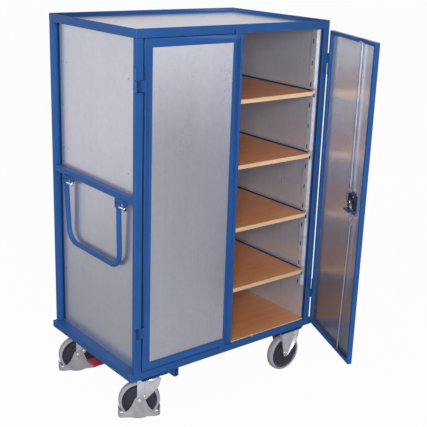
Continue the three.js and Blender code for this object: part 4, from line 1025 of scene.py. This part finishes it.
lock = {"back": 9.0, "spindleU": 410.0, "level": 752.5,
        "plate": (381.5, 452.0, 694.5, 797.0), "plateSpan": (8.6, 11.0),
        "body": (383.5, 446.5, 717.0, 789.0), "bodyBack": 11.0, "bodyFront": 26.5, "bodyStep": 2.5,
        "corner": 4.0, "faceInset": (4.0, 5.0), "flange": 1.3, "flangeCorner": 5.0,
        "lipInset": 4.0, "lipThick": 2.2,
        "lowShelf": (378.0, 449.5, 715.8), "lowReach": 42.6, "lowLip": 4.5,
        "highShelf": (369.0, 446.0, 770.5), "highReach": 28.8, "highLip": 3.5,
        "boss": [(0, 0), (13, 0), (12, 2.4), (7, 2.4), (7, 1), (0, 1)], "screw": (3.6, 1.8),
        "screws": ((389, 26.3, 723), (441, 26.3, 723), (441, 26.3, 783), (447, 11.0, 703), (447, 11.0, 791),
                   (388, 11.0, 791)),
        "lever": [(-428, 717), (-420, 717), (-413, 744), (-421, 744)], "stud": (424.0, 722.0, 3.2, 4.0),
        "camDisc": [(0, 0), (8.5, 0), (8.5, 3), (7.5, 4), (0, 4)], "camArm": (404, 435, 745, 751)}


def doorOblong(uA, uB, zA, zB, radius):
    # a rounded outline between two distances from the hinge and two heights
    return rounded([(-uB, zA), (-uA, zA), (-uA, zB), (-uB, zB)], radius)


def shelfShape(form, spot, reach, lip):
    # a flange that stands out from the plate with a small lip turned down at its front edge
    (uA, uB, z), half, back, corner = spot, form["flange"], form["back"], form["flangeCorner"]
    outline = rounded([(-uB, back), (-uA, back), (-uA, reach), (-uB, reach)], [0, 0, corner, corner])
    edge = doorOblong(uA + form["lipInset"], uB - form["lipInset"], z - lip, z + half, 1.2)
    return [drawn(outline, z - half, z + half, "z"), drawn(edge, reach - form["lipThick"], reach, "y")]


def caseShapes(form):
    # a moulded body with a raised face and a round boss over the spindle
    uA, uB, zA, zB = form["body"]
    front, (du, dz) = form["bodyFront"], form["faceInset"]
    boss = placed(turned(form["boss"], 28), facing((0, 1, 0), (-form["spindleU"], front - 1, form["level"])))
    return [drawn(doorOblong(uA, uB, zA, zB, form["corner"]), form["bodyBack"], front - form["bodyStep"], "y"),
            drawn(doorOblong(uA + du, uB - du, zA + dz, zB - dz, 5), front - 3, front, "y"), boss]


def screwShapes(form):
    # dome screws, the slanted lever and its stud on the front of the case
    u, z, radius, tall = form["stud"]
    front = form["bodyFront"]
    heads = [placed(domeHead(*form["screw"], 14, 4), facing((0, 1, 0), (-su, v, sz)))
             for su, v, sz in form["screws"]]
    return heads + [drawn(rounded(form["lever"], 3), front + 0.5, front + 3, "y"),
                    placed(pin(radius, 0, tall, 16), facing((0, 1, 0), (-u, front - 1, z)))]


def camShapes(form):
    # a disc on the spindle and a flat arm across it
    disc = placed(turned(form["camDisc"], 24),
                  facing((0, 1, 0), (-form["spindleU"], form["bodyFront"] + 0.6, form["level"])))
    return [disc, drawn(doorOblong(*form["camArm"], 2.8), form["bodyFront"] + 3.2, form["bodyFront"] + 5.4, "y")]


makePiece("lock_bracket_folded", [drawn(doorOblong(*lock["plate"], lock["corner"]), *lock["plateSpan"], "y"),
                                  *shelfShape(lock, lock["lowShelf"], lock["lowReach"], lock["lowLip"]),
                                  *shelfShape(lock, lock["highShelf"], lock["highReach"], lock["highLip"])],
          blueCoat, "right_door", ("lock_bracket",), edge=0.5, place=doorPlace)
makePiece("lock_case_moulded", caseShapes(lock), blackPlastic, "right_door", ("lock_case",),
          edge=1.0, place=doorPlace)
makePiece("lock_screws", screwShapes(lock), bright, "right_door", edge=0.4, place=doorPlace)
makePiece("lock_cam", camShapes(lock), bright, "door_handle", edge=0.4, place=doorPlace)

rods = {"upperRadius": 5.0, "lowerRadius": 3.8, "wireRadius": 1.9,
        "upper": [(-385, 17, 1464.8), (-385, 17, 1300), (-385, 17, 1000), (-385, 17, 829)],
        "strap": [(-385, 17, 834), (-385, 17, 806), (-386, 19, 799), (-388.5, 27, 791), (-389, 31.2, 785),
                  (-387, 31.6, 768), (-385, 31.6, 744)], "strapHalf": (5.6, 1.3),
        "bolt": (4.2, 3.0, 5.6), "upperBolts": [(-385.5, 32.6, 750), (-385, 18.2, 822)],
        "lower": [(-385, 17, 6.6), (-385, 17, 18), (-386, 17, 34), (-399, 17, 320), (-413, 17, 642)],
        "loop": {"x": -414.5, "y": 17.0, "z": 661.0, "lean": 1.32, "wide": 6.4, "tall": 20.0},
        "hook": [(-415.5, 17, 676), (-417, 17, 690), (-418.5, 19, 700), (-418.5, 22, 706)],
        "hookHalf": (4.6, 1.2), "hookPin": (4.6, 4.5), "hookPinAt": (-415.4, 17, 678)}


def wireLoop(form):
    # an upright oval: y = wide cos a, z = tall sin a, leaning a little in x
    a = np.radians(np.linspace(0, 360, 25)[:-1])
    return np.stack([form["x"] - form["lean"] * np.sin(a), form["y"] + form["wide"] * np.cos(a),
                     form["z"] + form["tall"] * np.sin(a)], 1)


rodBolts = [placed(hexBolt(*rods["bolt"]), facing((0, 1, 0), spot)) for spot in rods["upperBolts"]]
strap = carried(rods["strap"], *rods["strapHalf"], (1, 0, 0), (0, 0.8, 0.6))
makePiece("lock_rod_upper_round", [tube(rods["upper"], rods["upperRadius"], (0, 1, 0)), strap, *rodBolts],
          rodZinc, "upper_rod", ("lock_rod_upper",), edge=0.4, place=doorPlace)
pinRadius, pinHalf = rods["hookPin"]
lowerShapes = [tube(rods["lower"], rods["lowerRadius"], (0, 1, 0)),
               tube(wireLoop(rods["loop"]), rods["wireRadius"], (1, 0, 0), 10, closed=True),
               carried(rods["hook"], *rods["hookHalf"], (1, 0, 0), (0, 1, 0)),
               placed(pin(pinRadius, -pinHalf, pinHalf, 16), facing((0, 1, 0), rods["hookPinAt"]))]
makePiece("lock_rod_lower_round", lowerShapes, rodZinc, "lower_rod", ("lock_rod_lower",),
          edge=0.4, place=doorPlace)

frameEdge = {"near": 46.5, "leftFar": 543.0, "rightFar": 527.5, "low": 2.4, "high": 1469.5, "back": 26.5,
             "lipWide": 16.5, "lipThick": 1.6, "notchRise": 6.0,
             "rightNotch": (368, 402), "leftNotch": (250, 260),
             "shadeLine": (3.0, 5.4), "shadeLineUnder": 0.3, "shadeLineProud": 0.22}


def doorLip(form, side, near, far, notch, back):
    # the edge turned inward round the back of a door frame, a flat ring with a notch where the rod passes
    wide, z0, z1 = form["lipWide"], form["low"], form["high"]
    a, b, low, high = near + wide, far - wide, z0 + wide, z1 - wide
    outer = np.array([(near, z0), (far, z0), (far, z1), (notch[1], z1), (notch[1], z1), (notch[0], z1),
                      (notch[0], z1), (near, z1)])
    inner = np.array([(a, low), (b, low), (b, high), (notch[1], high), (notch[1], high + form["notchRise"]),
                      (notch[0], high + form["notchRise"]), (notch[0], high), (a, high)])
    rows = [(outer, back - form["lipThick"]), (outer, back), (inner, back), (inner, back - form["lipThick"])]
    return surface(np.stack([side * ring[:, 0] for ring, v in rows]), np.array([[v] for ring, v in rows]),
                   np.stack([ring[:, 1] for ring, v in rows]), True, True)


def doorShadeLine(form, side, near, far, back):
    # a narrow dark line of painted shade let in beside the folded edge, on the inner face
    corners = np.array([(near, form["low"]), (far, form["low"]), (far, form["high"]), (near, form["high"])])
    inward = np.array([(1, 1), (-1, 1), (-1, -1), (1, -1)], float)
    (first, last), under, proud = form["shadeLine"], back - form["shadeLineUnder"], back + form["shadeLineProud"]
    rows = [(first, under), (first, proud), (last, proud), (last, under)]
    x = np.stack([side * (corners + inward * step)[:, 0] for step, v in rows])
    z = np.stack([(corners + inward * step)[:, 1] for step, v in rows])
    return surface(x, np.array([[v] for step, v in rows]), z, True, True)


thinBack, slimNear = slim["inner"] - slim["innerBy"], slim["edge"] + slim["edgeBy"]
rightEdge = (-1, slimNear, frameEdge["rightFar"])
leftEdge = (1, frameEdge["near"], frameEdge["leftFar"])
makePiece("right_door_shade_line", [doorShadeLine(frameEdge, *rightEdge, thinBack)], shadeLineCoat, "right_door",
          place=doorPlace)
makePiece("left_door_shade_line", [doorShadeLine(frameEdge, *leftEdge, frameEdge["back"])], shadeLineCoat, "left_door",
          place=leftPlace)
makePiece("right_door_lip", [doorLip(frameEdge, *rightEdge, frameEdge["rightNotch"], thinBack)], blueCoat,
          "right_door", edge=0.5, place=doorPlace)
makePiece("left_door_lip", [doorLip(frameEdge, *leftEdge, frameEdge["leftNotch"], frameEdge["back"])], blueCoat,
          "left_door", edge=0.5, place=leftPlace)

handle = {"start": -10.0, "length": 98.0, "tall": 10.0, "taper": 2.4, "deep": 6.0, "out": -9.3, "nearCap": 0.06,
          "farCap": 0.07, "blunt": 0.98, "steps": 22, "sides": 24,
          "rosette": [(0, 0), (24, 0), (24, 3.5), (22, 6.5), (12, 8), (0, 8)], "rosetteV": 4.2,
          "spindle": (5.9, -6.0, 37.0)}


def gripShape(form):
    # a lever of oval section that tapers toward its free end: half height times cos t, depth times sin t,
    # both times a cap that rounds the two ends
    s = np.linspace(0, 1, form["steps"])[:, None]
    t = np.radians(np.arange(form["sides"]) * 360 / form["sides"])
    length = form["start"] - lock["spindleU"] + s * form["length"]
    farEnd = np.clip((s - 1 + form["farCap"]) / form["farCap"], 0, 1) ** 2 * form["blunt"]
    nearEnd = np.clip((form["nearCap"] - s) / form["nearCap"], 0, 1) ** 2 * form["blunt"]
    cap = np.sqrt(np.clip(1 - farEnd, 0, 1)) * np.sqrt(np.clip(1 - nearEnd, 0, 1))
    tall = (form["tall"] - form["taper"] * s) * cap
    points, faces = surface(length + 0 * t, form["out"] + form["deep"] * cap * np.sin(t),
                            lock["level"] + tall * np.cos(t), loopColumns=True)
    n = form["sides"]
    return points, faces + [list(range(n))[::-1], list(range((form["steps"] - 1) * n, form["steps"] * n))]


rosette = placed(turned(handle["rosette"], 40),
                 facing((0, -1, 0), (-lock["spindleU"], handle["rosetteV"], lock["level"])))
spindle = placed(pin(*handle["spindle"]), facing((0, 1, 0), (-lock["spindleU"], 0, lock["level"])))
makePiece("lock_handle_moulded", [rosette, spindle, gripShape(handle)], blackPlastic, "door_handle",
          ("lock_handle",), edge=0.8, place=doorPlace, sharp=45)
print("lock and handle made")


# Brake

roundedCopy("brake_shaft", blackSteel, "brake", 1.6)
pedal = {"back": -497.0, "front": -559.0, "top": -88.6, "low": -96.0, "half": 42.0, "near": 32.0, "pitch": 5.6,
         "ridge": 1.1, "ridgePower": 0.7, "nose": 4.4, "noseAt": 4.6, "flat": 5.0, "cheek": 3.2, "inset": 2.4,
         "cheekProud": 0.6, "cheekEnds": (1.0, 3.0)}
brakeArm = {"outline": [(-549, -95), (-549, -90), (-492, -86), (-470, -78), (-470, -84), (-490, -92)],
            "corners": [2, 2, 8, 2, 2, 8], "near": 33.5, "far": 50.0}


def pedalShapes(form):
    # a side profile carried across: height = ridge |sin| of the distance over the pitch, with a rounded nose
    x = np.linspace(form["back"], form["front"] + form["flat"], 67)
    wave = np.abs(np.sin((x - form["back"]) / form["pitch"] * np.pi)) ** form["ridgePower"]
    nose = arcPoints((form["front"] + form["noseAt"], form["low"] + form["nose"]), form["nose"], 90, 200, 8)
    profile = np.concatenate([np.stack([x, form["top"] + form["ridge"] * wave], 1), nose,
                              [(form["front"] + form["flat"], form["low"]), (form["back"], form["low"])]])
    behind, ahead = form["back"] - form["cheekEnds"][0], form["front"] + form["cheekEnds"][1]
    top, half = form["top"] + form["cheekProud"], form["cheek"] / 2
    cheek = rounded([(behind, form["low"]), (ahead, form["low"]), (ahead, top), (behind, top)], 2)
    cheeks = [drawn(cheek, y - half, y + half, "y") for y in (-form["half"] + half, form["near"] - half)]
    return [drawn(profile, -form["half"] + form["inset"], form["near"] - form["inset"], "y"), *cheeks]


makePiece("brake_pedal_ribbed", pedalShapes(pedal), redPlastic, "brake", ("brake_pedal",),
          sharp=40)
armOutline = rounded(brakeArm["outline"], brakeArm["corners"])
makePiece("brake_arm", [drawn(armOutline, brakeArm["near"], brakeArm["far"], "y")],
          blackSteel, "brake", edge=1.0)


# Sill, black strips of painted shade in the door gaps, tabs and strips: blocks given by their two x, two y and
# two z

# the sill is higher behind the closed door and open where the lower rod drops in
trim = {"sill": [(-500, 0, -351.5, -345.6, -18.8, 1.4), (0, 148, -351.5, -345.6, -18.8, -5.5),
                 (169, 500, -351.5, -345.6, -18.8, -5.5)],
        "gapShadows": [(-502.8, -498.6, -356.5, -350, 3, 1468), (498.6, 502.8, -356.5, -350, 3, 1468)],
        "rimNotchShade": (-38.0, -29.0, -358.8, -356.5, 1472.5, 1489),
        "doorTab": (-27.5, -1.5, -361.5, -358.9, 1466, 1491),
        "stripX": (508.05, 509.6), "stripY": (317, 336), "stripZ": (0, 1471)}
upright = {"x": (494.5, 496.0), "y": (299.8, 307.6), "first": 196.0, "last": 1440.0, "pitch": 101.0,
           "half": 10.9}
shelfLevels = (267, 570, 873, 1176)
tip = {"x": (483.5, 493.5), "y": (332.3, 334.8), "below": (28, 10)}


def mirrored(span, side):
    # the two ends of a span on one side of the middle, the lower first
    return sorted((side * span[0], side * span[1]))


sides = [(sx, sy) for sx in (-1, 1) for sy in (-1, 1)]
makePiece("sill_strip", [box(*ends) for ends in trim["sill"]], blueCoat, "cabinet",
          edge=0.8)
# black strips behind the gaps beside the doors: painted shade in the gaps
makePiece("door_gap_shadows", [box(*ends) for ends in trim["gapShadows"]], blackPlastic, "cabinet",
          edge=0.8)
# a thin black plate in front of the rim beside the door's tab: painted shade of the gap there
makePiece("rim_notch_shade", [box(*trim["rimNotchShade"])], blackSteel, "cabinet", edge=0.2)
makePiece("left_door_tab", [box(*trim["doorTab"])], blueCoat, "left_door", edge=0.8)
slotLevels = np.arange(upright["first"], upright["last"], upright["pitch"])
half = upright["half"]
# black blocks in the uprights' slots: painted shade seen through them
slotShadows = [box(*mirrored(upright["x"], sx), *mirrored(upright["y"], sy), z - half, z + half)
             for sx, sy in sides for z in slotLevels]
makePiece("upright_slot_shadows", slotShadows, blackSteel, "cabinet")
tips = [box(*mirrored(tip["x"], sx), *mirrored(tip["y"], sy), z - tip["below"][0], z - tip["below"][1])
        for sx, sy in sides for z in shelfLevels]
makePiece("bearer_tips", tips, blueCoat, "cabinet", edge=0.6)
# dark strips on the side sheets beside the back posts: painted shade of the posts' inner faces
strips = [box(*mirrored(trim["stripX"], sx), *mirrored(trim["stripY"], sy), *trim["stripZ"])
          for sx, sy in sides]
makePiece("panel_strips", strips, darkCoat, "cabinet", edge=0.4)


# Rivets and clips

# rows: distance from the middle and the levels there
rivets = {"radius": 3.2, "tall": 1.2, "sideX": 508.0,
          "rows": ((298, (186, 287, 692, 895, 1097, 1298)), (256, (1298, 895))),
          "doorV": 8.0, "doorLevels": range(90, 1430, 202), "leftU": (73, 518), "rightU": (73, 501)}
clip = {"outer": 493.5, "inner": 474.0, "steel": 2.5, "web": 2.6, "down": 26.0, "up": 14.0, "y": (317.0, 333.2)}


def rivetRow(spots, axis):
    # one dome at each spot, standing along the axis
    return [placed(domeHead(rivets["radius"], rivets["tall"], 10, 2), facing(axis, spot)) for spot in spots]


def clipShape(form, sx, sy, level):
    # an angle under the shelf's corner with its web up the upright
    outer, inner, web = form["outer"], form["inner"], form["outer"] - form["web"]
    foot, head = level - form["down"], level + form["up"]
    outline = [(outer, foot), (inner, foot), (inner, foot + form["steel"]), (web, foot + form["steel"]),
               (web, head), (outer, head)]
    return drawn(rounded([(sx * x, z) for x, z in outline], 0.5, 2), sy * form["y"][1], sy * form["y"][0], "y")


for side, end in ((-1, "left"), (1, "right")):
    spots = [(side * rivets["sideX"], y, z) for across, levels in rivets["rows"] for y in (-across, across)
             for z in levels]
    makePiece(f"side_rivets_{end}", rivetRow(spots, (side, 0, 0)), darkPressed, "cabinet")
for end, side, across, place in (("left", 1, rivets["leftU"], leftPlace),
                                 ("right", -1, rivets["rightU"], doorPlace)):
    spots = [(side * u, rivets["doorV"], z) for u in across for z in rivets["doorLevels"]]
    makePiece(f"{end}_door_rivets", rivetRow(spots, (0, 1, 0)), galvanised, f"{end}_door",
              place=place)
for index, level in enumerate(shelfLevels):
    clips = [clipShape(clip, sx, sy, level) for sx, sy in sides]
    makePiece(f"shelf_clips_{index + 1}", clips, pressed, "cabinet", edge=0.4)
print("rivets and clips set")


# Floor, light and camera

studio = {"groundZ": -0.2937, "size": 30.0, "world": 0.30, "tint": rgb(0.95, 0.97, 1.0), "seen": 0.97,
          "floorGloss": 0.04, "farGloss": 0.95, "floor": rgb(0.45, 0.45, 0.46), "roughness": 0.9,
          "matMiddle": (1.5, -2.5, -0.3), "matRadius": (3.6, 8.5)}
# place, target, width, height and power of each lamp
lamps = {"key": ((-3.2, -0.8, 3.0), (-0.4, 0, 1.0), 1.8, 1.8, 36.0),
         "fill": ((-2.9, -4.1, 2.1), (0.25, 0, 0.7), 1.8, 1.8, 250.0),
         "over": ((0.0, -0.6, 4.4), (0, 0, 0.8), 3.0, 3.0, 20.0),
         "behind": ((3.7, 3.3, 0.55), (0, 0, 0.7), 2.0, 1.0, 16.0)}
view = {"place": (-2.4328, -3.2298, 1.8656), "target": (0.1693, 0.0, 0.5312), "lens": 72.742, "sensor": 36.0,
        "roll": 1.96}


def seenDirectly(tree, light):
    # 1 where the camera looks straight or through clear glass
    straight, through = light.outputs["Is Camera Ray"], light.outputs["Is Transmission Ray"]
    return addNode(tree, "ShaderNodeMath", {0: straight, 1: through}, operation="MAXIMUM").outputs[0]


def makeStage():
    # a pale floor that the camera sees as white and metal sees as dark nearby and white far off
    size, z = studio["size"], studio["groundZ"]
    mesh = bpy.data.meshes.new("floor")
    corners = [(-size, -size, z), (size, -size, z), (size, size, z), (-size, size, z)]
    mesh.from_pydata(corners, [], [(0, 1, 2, 3)])
    floor = bpy.data.objects.new("floor", mesh)
    bpy.context.scene.collection.objects.link(floor)
    material, tree, shader, where = newMaterial("pale floor")
    shader.inputs["Base Color"].default_value = studio["floor"]
    shader.inputs["Roughness"].default_value = studio["roughness"]
    light = addNode(tree, "ShaderNodeLightPath")
    share = addNode(tree, "ShaderNodeMath", {0: seenDirectly(tree, light), 1: studio["seen"]},
                    operation="MULTIPLY")
    away = addNode(tree, "ShaderNodeVectorMath", {0: where, 1: studio["matMiddle"]}, operation="DISTANCE")
    near, far = studio["matRadius"]
    white = addNode(tree, "ShaderNodeMapRange", {"Value": away.outputs["Value"], "From Min": near,
                                                 "From Max": far, "To Min": studio["floorGloss"],
                                                 "To Max": studio["farGloss"]},
                    interpolation_type="SMOOTHSTEP")
    gloss = addNode(tree, "ShaderNodeMath", {0: light.outputs["Is Glossy Ray"], 1: white.outputs[0]},
                    operation="MULTIPLY")
    both = addNode(tree, "ShaderNodeMath", {0: share.outputs[0], 1: gloss.outputs[0]}, operation="MAXIMUM")
    glow = addNode(tree, "ShaderNodeEmission", {"Color": rgb(1, 1, 1), "Strength": 1.0})
    mix = addNode(tree, "ShaderNodeMixShader", {0: both.outputs[0], 1: shader.outputs[0], 2: glow.outputs[0]})
    tree.links.new(mix.outputs[0], tree.nodes["Material Output"].inputs["Surface"])
    mesh.materials.append(material)


def makeWorld():
    # soft light on the object, plain white for the camera and for reflections
    world = bpy.data.worlds.new("studio")
    bpy.context.scene.world = world
    world.use_nodes = True
    tree = world.node_tree
    tree.nodes.clear()
    light = addNode(tree, "ShaderNodeLightPath")
    soft = addNode(tree, "ShaderNodeBackground", {"Color": studio["tint"], "Strength": studio["world"]})
    white = addNode(tree, "ShaderNodeBackground", {"Color": rgb(1, 1, 1), "Strength": 1.0})
    shown = addNode(tree, "ShaderNodeMath", {0: seenDirectly(tree, light), 1: light.outputs["Is Glossy Ray"]},
                    operation="MAXIMUM")
    mix = addNode(tree, "ShaderNodeMixShader", {0: shown.outputs[0], 1: soft.outputs[0], 2: white.outputs[0]})
    addNode(tree, "ShaderNodeOutputWorld", {"Surface": mix.outputs[0]})


def addLamp(name, place, target, width, height, power):
    # an oblong area lamp that faces its target
    data = bpy.data.lights.new(name, "AREA")
    data.shape, data.size, data.size_y, data.energy = "RECTANGLE", width, height, power
    lamp = bpy.data.objects.new(name, data)
    bpy.context.scene.collection.objects.link(lamp)
    lamp.location = place
    lamp.rotation_euler = (Vector(target) - Vector(place)).to_track_quat("-Z", "Y").to_euler()


def makeCamera(values):
    # looks from its place to the target, then rolls about its own axis
    place, target = Vector(values["place"]), Vector(values["target"])
    ahead = (target - place).normalized()
    right = ahead.cross(Vector((0, 0, 1))).normalized()
    up = right.cross(ahead)
    c, s = math.cos(math.radians(values["roll"])), math.sin(math.radians(values["roll"]))
    right, up = right * c + up * s, up * c - right * s
    turn = Matrix((right, up, -ahead)).transposed().to_4x4()
    data = bpy.data.cameras.new("camera")
    data.lens, data.sensor_width, data.sensor_fit = values["lens"], values["sensor"], "HORIZONTAL"
    camera = bpy.data.objects.new("camera", data)
    bpy.context.scene.collection.objects.link(camera)
    camera.matrix_world = Matrix.Translation(place) @ turn
    bpy.context.scene.camera = camera


makeStage()
makeWorld()
for name, values in lamps.items():
    addLamp(name, *values)
makeCamera(view)
bpy.context.scene.view_settings.view_transform = "Standard"
print("stage, light and camera set")
